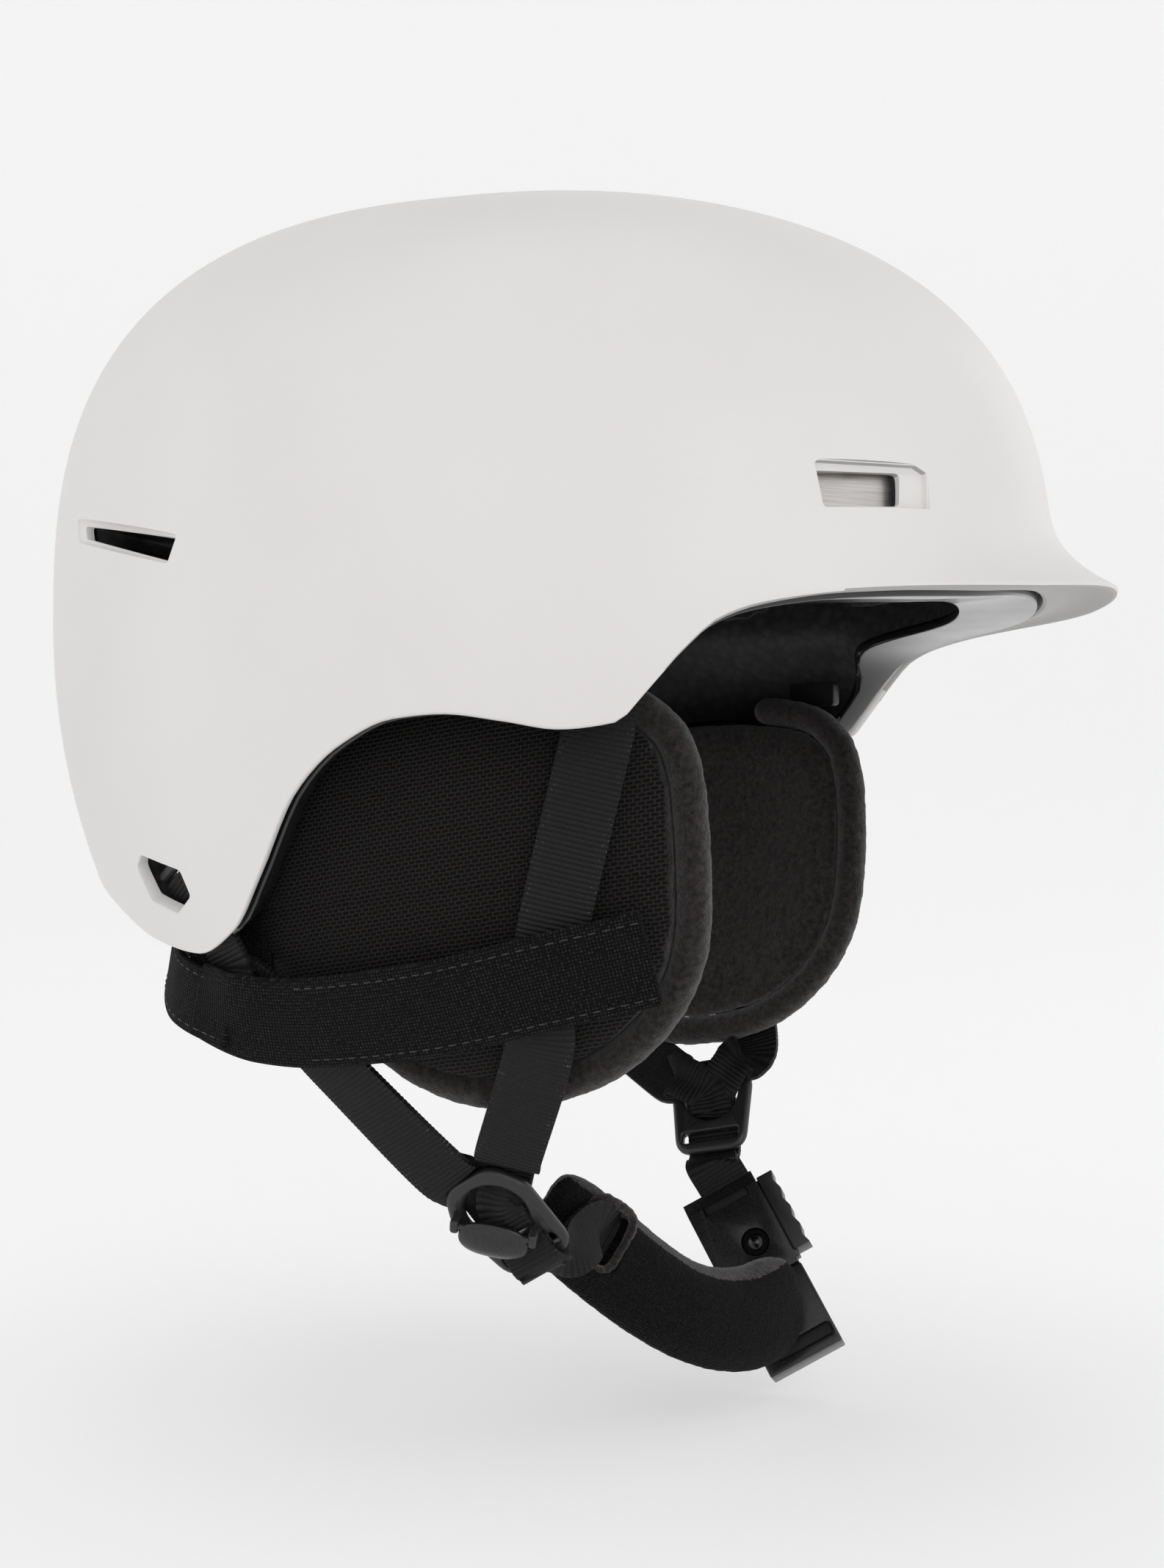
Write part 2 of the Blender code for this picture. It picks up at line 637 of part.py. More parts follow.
def build_bands():
    ends = {}
    for side, tag in ((1, "left"), (-1, "right")):
        lifts = [BAND_LIFT + extra * MM for extra in BAND_STAND]
        path, normals = on_flap(side, lifts, BAND_PATH)
        ends[side] = path[-1]
        ribbon(f"flap_band_{tag}", path, normals, BAND_WIDTH, BAND_THICKNESS, CANVAS, 14)
    left = ends[1]
    low = BAND_PATH[-1][1] * MM
    quarter = []
    for share in (0.0, 0.35, 0.7):
        turn = math.radians(90 * share)
        quarter.append(Vector((left.x * math.cos(turn) ** 0.8,
                               left.y + BAND_JOIN + (NAPE_REACH - left.y) * math.sin(turn),
                               low + (NAPE_LEVEL - low) * math.sin(turn) ** 2)))
    flip = [Vector((-p.x, p.y, p.z)) for p in reversed(quarter)]
    route = quarter + [Vector((0, NAPE_REACH + BAND_JOIN, NAPE_LEVEL))] + flip
    bm = bmesh.new()
    bmesh.ops.create_grid(bm, x_segments=22, y_segments=1, size=0.5)
    for v in bm.verts:
        t = min(1.0, max(0.0, v.co.x + 0.5))
        v.co = through(route, t) + Vector((0, 0, NAPE_WIDTH * math.copysign(0.5, v.co.y)))
    nape = finish(bm, "nape_band", CANVAS, smooth=False)
    mod = nape.modifiers.new("thickness", "SOLIDIFY")
    mod.thickness = BAND_THICKNESS
    mod.offset = 0.0


REAR_STRAP_INSET = SHELL_WALL + LINER_GAP + 1.8 * MM
REAR_STRAP_LINE = [(122.5, -24.0), (119.5, -34.0), (117.0, -46.0)]   # (azimuth, height in mm) inside the shell
REAR_STRAP_START = (116.2, -50.5)


def inside_shell(side, azimuth, height, inset):
    a = math.radians(side * azimuth)
    return dome_point(a, polar_at(a, height * MM), inset)


def strap_routes(side):
    """Points and normals of the front and rear straps of one side, down to that side's divider."""
    divider = divider_matrix(side)
    out = Vector(divider.col[2][:3])
    front, front_normals = on_flap(side, [STRAP_LIFT] * 6,
                                   [(-52, 21), (-50, 10), (-45, -12), (-40, -31), (-35, -50), (-33, -62)])
    rear, rear_normals = on_flap(side, [STRAP_LIFT, STRAP_LIFT + 1.0 * MM], [(31, -54), (17, -68)])
    rear.insert(0, inside_shell(side, *REAR_STRAP_START, REAR_STRAP_INSET))
    rear_normals.insert(0, Vector((side, 0.35, -0.2)))
    front.append(divider @ Vector(FRONT_STRAP_END[side]))
    rear.append(divider @ Vector(REAR_STRAP_END[side]))
    return front, front_normals + [out], rear, rear_normals + [out]


# the point where each strap meets its divider ring, in the divider's own axes
FRONT_STRAP_END = {-1: (-10.2 * MM, 12.2 * MM, 1.2 * MM), 1: (-12.8 * MM, -10.0 * MM, 1.6 * MM)}
REAR_STRAP_END = {-1: (-17.0 * MM, -3.0 * MM, 1.2 * MM), 1: (-9.0 * MM, 13.6 * MM, 1.6 * MM)}


def divider_matrix(side):
    """Dividers hang from their straps: X runs down the chin strap, Z faces outwards."""
    spread = SHELL_HALF_WIDTH - 53 * MM
    if side < 0:
        return axes_at((-spread, -13.5 * MM, -103 * MM), (0.45, -0.51, -0.73), (-0.87, -0.11, -0.48))
    return axes_at((spread, -29 * MM, -90 * MM), (-0.42, -0.17, -0.89), (0.84, -0.107, -0.533))


def rear_strap_anchor_line(side):
    return [inside_shell(side, az, height, REAR_STRAP_INSET) for az, height in REAR_STRAP_LINE]


def strap_notch(name, side):
    """Cutter for the passage of the rear strap through the liner and its trim."""
    top, _, low = rear_strap_anchor_line(side)
    outwards = Vector((side * 0.85, 0.5, -0.15))
    matrix = axes_at(top.lerp(low, 0.5), low - top, outwards)
    length = (low - top).length + 24 * MM
    outline = round_box(length / 2, WEBBING_WIDTH / 2 + 0.9 * MM, 1.0 * MM, 1)
    return plate(name, outline, -2.6 * MM, 5.0 * MM, FOAM, matrix)


def build_straps():
    for side, tag in ((1, "left"), (-1, "right")):
        front, front_normals, rear, rear_normals = strap_routes(side)
        ribbon(f"front_strap_{tag}", front, front_normals, WEBBING_WIDTH, WEBBING_THICKNESS, WEBBING, 16)
        ribbon(f"rear_strap_{tag}", rear, rear_normals, WEBBING_WIDTH, WEBBING_THICKNESS, WEBBING, 10)
        upper = rear_strap_anchor_line(side)
        outwards = Vector((side * 0.85, 0.5, -0.15))
        ribbon(f"rear_strap_anchor_{tag}", upper, [outwards] * 3, WEBBING_WIDTH * 0.9, WEBBING_THICKNESS, WEBBING, 5)
        rise = (upper[0] - upper[1]).normalized()
        bar = axes_at(upper[0] + rise * 2.6 * MM, rise, rise.cross(outwards))
        cylinder(f"anchor_bar_{tag}", 1.5 * MM, WEBBING_WIDTH, BLACK_PLASTIC, bar, 12)
        top = front[0] + (front[0] - front[1]).normalized() * 5.4 * MM - front_normals[0] * 2.8 * MM
        hanger = axes_at(top, (0, 1, 0), front_normals[0])
        plate(f"front_anchor_{tag}", round_box(8.0 * MM, 3.4 * MM, 1.0 * MM, 2), -1.5 * MM, 1.5 * MM,
              BLACK_PLASTIC, hanger)


# ---------------------------------------------------------------- dividers

SLOT_AT = RING_RADIUS - 1.2 * MM     # start of the chin strap's slot, from the ring's centre


def divider_outline():
    far = SLOT_AT + DIVIDER_SLOT + DIVIDER_BAR
    corner = 4.0 * MM
    half = WEBBING_WIDTH / 2 + 2.4 * MM
    circles = circle(RING_RADIUS, 24)
    for sy in (-1, 1):
        circles += circle(corner, 12, (far - corner, sy * (half - corner)))
    return hull(circles)


def bar_centre():
    return SLOT_AT + DIVIDER_SLOT + DIVIDER_BAR / 2


LOCK_CLEAR = 1.0 * MM                # room for webbing under the lock
LOCK_HEEL = 2.0 * MM
LUG = 2.0 * MM


def join(obj, other):
    """Adds another closed piece to an object, and leaves it as a guide."""
    other.hide_render = True
    other.display_type = "WIRE"
    mod = obj.modifiers.new("join_" + other.name, "BOOLEAN")
    mod.operation = "UNION"
    mod.solver = "EXACT"
    mod.object = other


def lock_axes(side):
    """The divider's axes turned in its own plane to those of its lock; Y runs along the pin."""
    return divider_matrix(side) @ Matrix.Rotation(math.radians(side * LOCK_TURN), 4, "Z")


def build_dividers():
    thick = DIVIDER_THICKNESS
    for side, tag in ((1, "left"), (-1, "right")):
        matrix = divider_matrix(side)
        ring = plate(f"strap_divider_{tag}", divider_outline(), -thick / 2, thick / 2, BLACK_PLASTIC, matrix)
        hole = plate(f"cut_ring_{tag}", circle(RING_HOLE, 24), -2 * thick, 2 * thick, BLACK_PLASTIC, matrix)
        slot_outline = round_box(DIVIDER_SLOT / 2, WEBBING_WIDTH / 2 + 0.5 * MM, 0.8 * MM, 2,
                                 (SLOT_AT + DIVIDER_SLOT / 2, 0))
        slot = plate(f"cut_slot_{tag}", slot_outline, -2 * thick, 2 * thick, BLACK_PLASTIC, matrix)
        turned = lock_axes(side)
        pivot_x = SLOT_AT - LOCK_WIDTH + 1.2 * MM
        pivot_z = thick / 2 + LOCK_CLEAR + LOCK_THICKNESS / 2
        for sy in (-1, 1):
            y = sy * (LOCK_LENGTH / 2 + GAP + LUG / 2)
            lug = plate(f"lug_{tag}_{sy + 1}", round_box(LUG, LUG / 2, 0.3 * MM, 1, (pivot_x, y)), 0.0,
                        pivot_z + LOCK_THICKNESS / 2, BLACK_PLASTIC, turned)
            join(ring, lug)
        cut(ring, hole)
        cut(ring, slot)
        cap = axes_at(turned @ Vector((pivot_x, 0, pivot_z)), turned.col[0][:3], turned.col[2][:3])
        lock = plate(f"divider_lock_{tag}", round_box(LOCK_WIDTH / 2, LOCK_LENGTH / 2, 2.4 * MM, 4,
                                                      (LOCK_WIDTH / 2 - LOCK_HEEL, 0)),
                     -LOCK_THICKNESS / 2, LOCK_THICKNESS / 2, BLACK_PLASTIC, cap)
        pin_axes = axes_at(cap.translation, cap.col[0][:3], cap.col[1][:3])
        bore = cylinder(f"cut_lock_bore_{tag}", PIN_RADIUS + PIN_CLEARANCE, 40 * MM, BLACK_PLASTIC, pin_axes)
        cut(lock, bore)
        cut(ring, bore)
        cylinder(f"lock_pin_{tag}", PIN_RADIUS, LOCK_LENGTH + 2 * GAP + 2 * LUG, STEEL, pin_axes, 12)


# ---------------------------------------------------------------- buckle and chin pad

def buckle_matrix():
    """X runs down the strap towards the chin, Z faces out from the jaw."""
    spread = SHELL_HALF_WIDTH - 60 * MM
    return axes_at((spread - 6.5 * MM, -48.5 * MM, -132 * MM), (-0.27, -0.56, -0.78), (0.91, 0.12, -0.40))


BUCKLE_TOP = -23.0 * MM              # upper end of the buckle, along its own X
LAP = 4.0 * MM                       # thickness of the tongue that the male half lies on
STEP_SLANT = 1.5 * MM                # the meeting faces lean so that the tongue can lift off the male half


def build_buckle():
    matrix = buckle_matrix()
    half = BUCKLE_THICKNESS / 2
    step = BUCKLE_TOP + BUCKLE_BODY
    end = step + BUCKLE_TONGUE
    # side profile: X along the buckle, Y through its thickness; then turned so that it extrudes across
    profile = [(BUCKLE_TOP, -half + 2.5 * MM), (BUCKLE_TOP + 4 * MM, -half), (step - STEP_SLANT, -half),
               (step, half - LAP), (end, half - LAP), (end, half), (BUCKLE_TOP, half)]
    across = matrix @ Matrix.Rotation(math.radians(90), 4, "X")
    body = plate("buckle_body", profile, -BUCKLE_WIDTH / 2, BUCKLE_WIDTH / 2 - SLIDER_WIDTH - GAP, BLACK_PLASTIC,
                 across)
    entry_x = BUCKLE_TOP + 5.0 * MM
    entry = plate("cut_buckle_entry", round_box(1.6 * MM, WEBBING_WIDTH / 2 - 1.0 * MM, 0.7 * MM, 2,
                                                (entry_x, 2.0 * MM)),
                  -2 * half, 2 * half, BLACK_PLASTIC, matrix)
    cut(body, entry)
    magnet_x = BUCKLE_TOP + 0.62 * BUCKLE_BODY
    socket = matrix @ Matrix.Translation((magnet_x, 0, -half))
    cut(body, plate("cut_magnet_socket", circle(MAGNET_RADIUS + GAP, 20), -4 * MM, 4.4 * MM, BLACK_PLASTIC, socket))
    plate("buckle_magnet", circle(MAGNET_RADIUS, 16), 0.6 * MM, 4.0 * MM, STEEL, socket)
    # release slider beside the body, on the side that faces forward
    z_side = -(BUCKLE_WIDTH / 2 - SLIDER_WIDTH / 2)
    slider = matrix @ Matrix.Translation((BUCKLE_TOP + BUCKLE_BODY / 2 - 1 * MM, z_side, 0))
    length = BUCKLE_BODY - 2 * SLIDER_TRAVEL - 3 * MM
    wave = []
    for i in range(9):
        wave.append((-length / 2 + length * i / 8, -SLIDER_WIDTH / 2 + (0.9 * MM if i % 2 else 0.0)))
    outline = wave + [(length / 2, SLIDER_WIDTH / 2), (-length / 2, SLIDER_WIDTH / 2)]
    plate("release_slider", outline, -half + 1 * MM, half - 1 * MM, BLACK_PLASTIC, slider)
    return matrix, step, end, half


def build_male(matrix, step, end, half):
    """Male half: a block that lies on the body's tongue, and a bar that holds the chin webbing."""
    clear = 0.5 * MM
    profile = [(step - STEP_SLANT + clear, -half), (end + 9 * MM, -half), (end + 9 * MM, half - 1 * MM),
               (end + 1.6 * MM, half - 1 * MM), (end + 1.2 * MM, half - LAP - clear),
               (step + clear, half - LAP - clear)]
    across = matrix @ Matrix.Rotation(math.radians(90), 4, "X")
    width = BUCKLE_WIDTH - SLIDER_WIDTH
    male = plate("buckle_tab", profile, -BUCKLE_WIDTH / 2, -BUCKLE_WIDTH / 2 + width, BLACK_PLASTIC, across)
    slot = plate("cut_tab_slot", round_box(1.8 * MM, WEBBING_WIDTH / 2 + 0.5 * MM, 0.8 * MM, 2,
                                           (end + 4.4 * MM, 1.0 * MM)), -2 * half, 2 * half, BLACK_PLASTIC, matrix)
    cut(male, slot)
    disc = matrix @ Matrix.Translation((step + 6.5 * MM, 0, half - LAP - clear))
    cut(male, plate("cut_keeper_socket", circle(MAGNET_RADIUS + GAP, 20), -2.4 * MM, 4 * MM, BLACK_PLASTIC, disc))
    plate("keeper_disc", circle(MAGNET_RADIUS, 16), -2.0 * MM, -0.5 * MM, STEEL, disc)


def chin_ends():
    """Where the chin pad starts below the right divider and ends at the buckle's tab."""
    right = divider_matrix(-1)
    start = right @ Vector((10.5 * MM, 0, -DIVIDER_THICKNESS / 2 - CHIN_PAD_THICKNESS / 2 - 9.0 * MM))
    finish_at = buckle_matrix() @ Vector((BUCKLE_TOP + BUCKLE_BODY + BUCKLE_TONGUE - 4.0 * MM, -2.0 * MM,
                                          -BUCKLE_THICKNESS / 2 - CHIN_PAD_THICKNESS / 2 - 1.2 * MM))
    return start, finish_at


CHIN_SAG = [(0.0, 0.0, 0.0), (0.25, -3.0, -6.0), (0.5, -5.0, -11.0), (0.75, -3.5, -9.0), (1.0, 0.0, 0.0)]


def chin_route():
    start, last = chin_ends()
    return [start.lerp(last, f) + Vector((0, y * MM, z * MM)) for f, y, z in CHIN_SAG]


def build_chin():
    right = divider_matrix(-1)
    route = chin_route()

    def place(share, angle, side):
        p, q = rounded_square(share, angle, 5)
        t = (p + 1) / 2
        here = through(route, t)
        step = 0.01
        along = (through(route, min(1, t + step)) - through(route, max(0, t - step))).normalized()
        out = through([Vector((-0.70, -0.60, -0.10)), Vector((-0.45, -0.88, 0.0)), Vector((-0.36, -0.93, 0.05)),
                       Vector((-0.30, -0.93, 0.05))], t)
        out = (out - along * out.dot(along)).normalized()
        across = along.cross(out).normalized()
        width = CHIN_PAD_WIDTH * (0.80 + 0.20 * math.sin(math.pi * min(1, 0.12 + t)))
        return here + across * (q * width / 2) + out * (side * CHIN_PAD_THICKNESS / 2)

    pillow("chin_pad", place, 40, 8, FLEECE, 0.5)
    bar = bar_centre()
    hang = [right @ Vector((bar + 1.5 * MM, 0, -1.0 * MM - depth)) for depth in (2.0 * MM, 3.6 * MM, 5.0 * MM)]
    looped_webbing("chin_webbing", right, hang, [Vector(right.col[0][:3])] * 3)


def looped_webbing(name, divider, points, normals):
    """Webbing sleeve round a divider's bar, joined to a strip that starts in the sleeve's wall."""
    bar = divider @ Vector((bar_centre(), 0, 0))
    inner = math.hypot(DIVIDER_BAR / 2, DIVIDER_THICKNESS / 2) + GAP
    outer = inner + WEBBING_THICKNESS
    sleeve_axes = axes_at(bar, divider.col[0][:3], divider.col[1][:3])
    width = WEBBING_WIDTH - 1.0 * MM
    sleeve = cylinder(name, outer, width, WEBBING, sleeve_axes, 18)
    strip = ribbon(f"{name}_strip", points, normals, width - 0.4 * MM, WEBBING_THICKNESS, WEBBING, 6)
    join(sleeve, strip)
    cut(sleeve, cylinder(f"cut_{name}", inner, WEBBING_WIDTH * 2, WEBBING, sleeve_axes, 18))
    return sleeve


def build_left_webbing():
    """Webbing from the left divider's bar down to the buckle."""
    buckle = buckle_matrix()
    low = buckle @ Vector((BUCKLE_TOP - 1.0 * MM, 0, -1.0 * MM))
    left = divider_matrix(1)
    reach = math.hypot(DIVIDER_BAR / 2, DIVIDER_THICKNESS / 2) + GAP
    start = left @ Vector((bar_centre() + reach + WEBBING_THICKNESS / 2, 0, 0))
    normals = [Vector(left.col[2][:3]), Vector(buckle.col[2][:3])]
    looped_webbing("left_chin_webbing", left, [start, low], normals)


# ---------------------------------------------------------------- goggle retainer

RETAINER_LEVEL = 2.0 * MM


def retainer_matrix():
    """On the shell's rear wall: Z points back, X up."""
    here = dome_point(math.pi, polar_at(math.pi, RETAINER_LEVEL))
    above = dome_point(math.pi, polar_at(math.pi, RETAINER_LEVEL + 5 * MM))
    up = (above - here).normalized()
    back = Vector((1, 0, 0)).cross(up)
    back = back if back.y > 0 else -back
    return axes_at(here, up, back)


def build_retainer():
    """Base on the rear wall, and a lever that closes over a goggle strap; it turns on a pin below the base."""
    matrix = retainer_matrix()
    foot = GAP
    top = foot + RETAINER_PLATE
    base = plate("retainer_base", round_box(RETAINER_HEIGHT / 2, RETAINER_WIDTH / 2, 4 * MM, 4), foot, top,
                 BLACK_PLASTIC, matrix)
    pivot_x = -RETAINER_HEIGHT / 2 + 2.6 * MM
    pivot_z = top + 3.0 * MM
    lever_half = 7.0 * MM
    axle = axes_at(matrix @ Vector((pivot_x, 0, pivot_z)), matrix.col[0][:3], matrix.col[1][:3])
    for sy in (-1, 1):
        y = sy * (lever_half + GAP + 1.5 * MM)
        ear = plate(f"retainer_ear_{sy + 1}", round_box(2.4 * MM, 1.5 * MM, 0.4 * MM, 1, (pivot_x, y)),
                    foot + 0.5 * MM, pivot_z + 2.2 * MM, BLACK_PLASTIC, matrix)
        join(base, ear)
    bore = cylinder("cut_retainer_bore", PIN_RADIUS + PIN_CLEARANCE, 60 * MM, BLACK_PLASTIC, axle)
    cut(base, bore)
    cylinder("retainer_pin", PIN_RADIUS, 2 * lever_half + 2 * GAP + 6.0 * MM, STEEL, axle, 12)
    # lever profile: X up the wall, Y outwards, from the pivot
    reach = RETAINER_HEIGHT + 2.0 * MM
    knuckle = [(2.4 * MM * math.cos(a), 2.4 * MM * math.sin(a))
               for a in (math.radians(90 + 30 * i) for i in range(8))]
    profile = knuckle + [(2.6 * MM, -0.4 * MM), (4.0 * MM, STRAP_ROOM - 3.0 * MM),
                         (reach - 4.0 * MM, STRAP_ROOM - 3.0 * MM), (reach, STRAP_ROOM - 5.0 * MM),
                         (reach + 1.5 * MM, STRAP_ROOM - 2.4 * MM), (reach - 3.0 * MM, STRAP_ROOM - 0.8 * MM),
                         (3.0 * MM, STRAP_ROOM - 0.8 * MM)]
    turned = axes_at(matrix @ Vector((pivot_x, 0, pivot_z)), matrix.col[0][:3], -Vector(matrix.col[1][:3]))
    lever = plate("retainer_lever", profile, -lever_half, lever_half, BLACK_PLASTIC, turned)
    cut(lever, bore)


def main():
    clear_scene()
    build_shell()
    build_liner()
    build_rim()
    build_vent_plates()
    build_fit_pads()
    for side, tag in ((1, "left"), (-1, "right")):
        build_ear_flap(side, tag)
    build_bands()
    build_straps()
    build_dividers()
    matrix, step, end, half = build_buckle()
    build_male(matrix, step, end, half)
    build_chin()
    build_left_webbing()
    build_retainer()


main()
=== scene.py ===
import math

import bmesh
import bpy
from mathutils import Matrix, Vector, noise


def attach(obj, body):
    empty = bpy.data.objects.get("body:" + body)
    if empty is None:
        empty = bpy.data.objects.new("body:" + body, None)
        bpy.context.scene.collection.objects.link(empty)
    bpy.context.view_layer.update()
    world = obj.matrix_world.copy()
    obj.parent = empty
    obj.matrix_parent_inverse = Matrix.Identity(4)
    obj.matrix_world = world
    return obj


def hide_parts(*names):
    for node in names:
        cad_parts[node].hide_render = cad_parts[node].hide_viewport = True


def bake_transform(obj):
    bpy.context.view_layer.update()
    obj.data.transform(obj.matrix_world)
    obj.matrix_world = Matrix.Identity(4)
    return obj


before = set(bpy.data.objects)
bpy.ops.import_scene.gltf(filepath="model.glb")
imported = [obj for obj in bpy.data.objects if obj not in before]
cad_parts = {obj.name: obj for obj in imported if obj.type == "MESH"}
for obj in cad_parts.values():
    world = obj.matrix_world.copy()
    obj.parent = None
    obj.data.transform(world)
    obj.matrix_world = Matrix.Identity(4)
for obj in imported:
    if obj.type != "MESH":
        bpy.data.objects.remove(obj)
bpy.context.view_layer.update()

# a snow helmet: origin at the centre of the head at ear level, +Z up, brim towards -Y, wearer's left +X
mm = 0.001
scene = bpy.context.scene
print("frame loaded")


# small helpers

def smoothstep(low, high, value):
    t = min(1.0, max(0.0, (value - low) / (high - low)))
    return t * t * (3 - 2 * t)


def catmull(p, f):
    return 0.5 * ((2 * p[1]) + (p[2] - p[0]) * f + (2 * p[0] - 5 * p[1] + 4 * p[2] - p[3]) * f ** 2
                  + (3 * p[1] - p[0] - 3 * p[2] + p[3]) * f ** 3)


def through(points, t):
    # smooth open curve through the points, t from 0 to 1
    count = len(points) - 1
    i = min(int(t * count), count - 1)
    return catmull([Vector(points[max(0, min(count, j))]) for j in (i - 1, i, i + 1, i + 2)], t * count - i)


def throughLoop(points, t):
    count = len(points)
    i = int(t * count) % count
    return catmull([Vector(points[j % count]) for j in (i - 1, i, i + 1, i + 2)], t * count - int(t * count))


def evenly(points, count):
    # the curve's points at equal steps of length, as (share of the curve, length so far)
    fine = 400
    last = through(points, 0.0)
    lengths = [0.0]
    for i in range(1, fine + 1):
        here = through(points, i / fine)
        lengths.append(lengths[-1] + (here - last).length)
        last = here
    out = []
    j = 0
    for i in range(count + 1):
        target = lengths[-1] * i / count
        while j < fine - 1 and lengths[j + 1] < target:
            j += 1
        step = max(1e-9, lengths[j + 1] - lengths[j])
        out.append(((j + (target - lengths[j]) / step) / fine, target))
    return out


def axesAt(origin, xAxis, zAxis):
    z = Vector(zAxis).normalized()
    x = (Vector(xAxis) - z * Vector(xAxis).dot(z)).normalized()
    return Matrix.Translation(Vector(origin)) @ Matrix((x, z.cross(x), z)).transposed().to_4x4()


def applyModifiers(obj):
    graph = bpy.context.evaluated_depsgraph_get()
    graph.update()
    mesh = bpy.data.meshes.new_from_object(obj.evaluated_get(graph))
    obj.modifiers.clear()
    obj.data = mesh
    return obj


def addPiece(bm, name, materials, body=None, nodes=(), slotName=None, sharp=35, outward=True):
    # turns a bmesh into a finished object that rides on a body and stands for its CAD nodes
    if outward:
        bmesh.ops.recalc_face_normals(bm, faces=bm.faces)
        if bm.calc_volume(signed=True) < 0:
            bmesh.ops.reverse_faces(bm, faces=bm.faces)
    mesh = bpy.data.meshes.new(name)
    bm.to_mesh(mesh)
    bm.free()
    for mat in materials:
        mesh.materials.append(mat)
    mesh.shade_smooth()
    mesh.set_sharp_from_angle(angle=math.radians(sharp))
    obj = bpy.data.objects.new(name, mesh)
    scene.collection.objects.link(obj)
    if body:
        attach(obj, body)
    if nodes:
        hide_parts(*nodes)
    return obj


def carve(obj, cutters, operation="DIFFERENCE", solver="EXACT"):
    for cutter in cutters:
        mod = obj.modifiers.new("carve", "BOOLEAN")
        mod.operation = operation
        mod.solver = solver
        mod.object = cutter
    applyModifiers(obj)
    for cutter in cutters:
        bpy.data.objects.remove(cutter, do_unlink=True)
    return obj


# materials: each is a small node tree on object coordinates in metres, or on a strip's own UV map in metres

def addNode(tree, kind, inputs=None, **settings):
    node = tree.nodes.new("ShaderNode" + kind)
    for key, value in settings.items():
        setattr(node, key, value)
    for key, value in (inputs or {}).items():
        if isinstance(value, bpy.types.NodeSocket):
            tree.links.new(value, node.inputs[key])
        else:
            node.inputs[key].default_value = value
    return node


def math2(tree, operation, a, b=0.0):
    node = addNode(tree, "Math", operation=operation)
    for i, value in enumerate((a, b)):
        if isinstance(value, bpy.types.NodeSocket):
            tree.links.new(value, node.inputs[i])
        else:
            node.inputs[i].default_value = value
    return node.outputs[0]


def between(tree, factor, low, high, start=0.0, end=1.0):
    # colour ramp from low to high
    ramp = addNode(tree, "ValToRGB", {"Fac": factor})
    ramp.color_ramp.elements[0].position = start
    ramp.color_ramp.elements[1].position = end
    ramp.color_ramp.elements[0].color = (*low, 1.0)
    ramp.color_ramp.elements[1].color = (*high, 1.0)
    return ramp.outputs["Color"]


def ranged(tree, value, low, high, fromLow=0.0, fromHigh=1.0):
    node = addNode(tree, "MapRange", {"Value": value, "From Min": fromLow, "From Max": fromHigh,
                                      "To Min": low, "To Max": high})
    return node.outputs["Result"]


def baseMaterial(name, roughness=0.5, metallic=0.0, specular=0.5, **sockets):
    mat = bpy.data.materials.new(name)
    mat.use_nodes = True
    tree = mat.node_tree
    shader = tree.nodes["Principled BSDF"]
    shader.inputs["Roughness"].default_value = roughness
    shader.inputs["Metallic"].default_value = metallic
    shader.inputs["Specular IOR Level"].default_value = specular
    for key, value in sockets.items():
        shader.inputs[key.replace("_", " ")].default_value = value
    return mat, tree, shader


def noiseOn(tree, coords, scale, detail=3.0, rough=0.5):
    node = addNode(tree, "TexNoise", {"Vector": coords, "Scale": scale, "Detail": detail, "Roughness": rough})
    return node.outputs["Fac"]


def objectCoords(tree):
    return addNode(tree, "TexCoord").outputs["Object"]


def uvCoords(tree):
    return addNode(tree, "TexCoord").outputs["UV"]


def bumpTo(tree, shader, height, strength, distance):
    bump = addNode(tree, "Bump", {"Height": height, "Strength": strength, "Distance": distance})
    tree.links.new(bump.outputs["Normal"], shader.inputs["Normal"])
    return bump


def makeShellPaint(name="shellPaint", tone=1.0):
    mat, tree, shader = baseMaterial(name, specular=0.42)
    at = objectCoords(tree)
    patch = noiseOn(tree, at, 14.0, 2.0)
    # a tone below 1 gives a darker copy of the paint, used as painted shade under the brim
    low = tuple(c * tone for c in (0.735, 0.715, 0.702))
    high = tuple(c * tone for c in (0.775, 0.757, 0.745))
    tree.links.new(between(tree, patch, low, high, 0.3, 0.7), shader.inputs["Base Color"])
    grain = noiseOn(tree, at, 2600.0, 2.0)
    tree.links.new(ranged(tree, grain, 0.40, 0.52), shader.inputs["Roughness"])
    bumpTo(tree, shader, grain, 0.12, 0.05 * mm)
    return mat


def makeFoam():
    mat, tree, shader = baseMaterial("beadFoam", roughness=0.62)
    at = objectCoords(tree)
    beads = addNode(tree, "TexVoronoi", {"Vector": at, "Scale": 330.0}, feature="F1")
    tree.links.new(between(tree, beads.outputs["Distance"], (0.020, 0.020, 0.021), (0.006, 0.006, 0.006), 0.1, 0.8),
                   shader.inputs["Base Color"])
    bumpTo(tree, shader, math2(tree, "MULTIPLY", beads.outputs["Distance"], -1.0), 0.5, 0.5 * mm)
    return mat


def makeGlossTrim():
    mat, tree, shader = baseMaterial("glossTrim", specular=0.5, Coat_Weight=0.35, Coat_Roughness=0.06)
    at = objectCoords(tree)
    wear = noiseOn(tree, at, 90.0, 4.0)
    tree.links.new(ranged(tree, wear, 0.14, 0.30), shader.inputs["Roughness"])
    tree.links.new(between(tree, wear, (0.008, 0.008, 0.009), (0.015, 0.015, 0.016)), shader.inputs["Base Color"])
    bumpTo(tree, shader, noiseOn(tree, at, 60.0), 0.06, 0.6 * mm)
    return mat


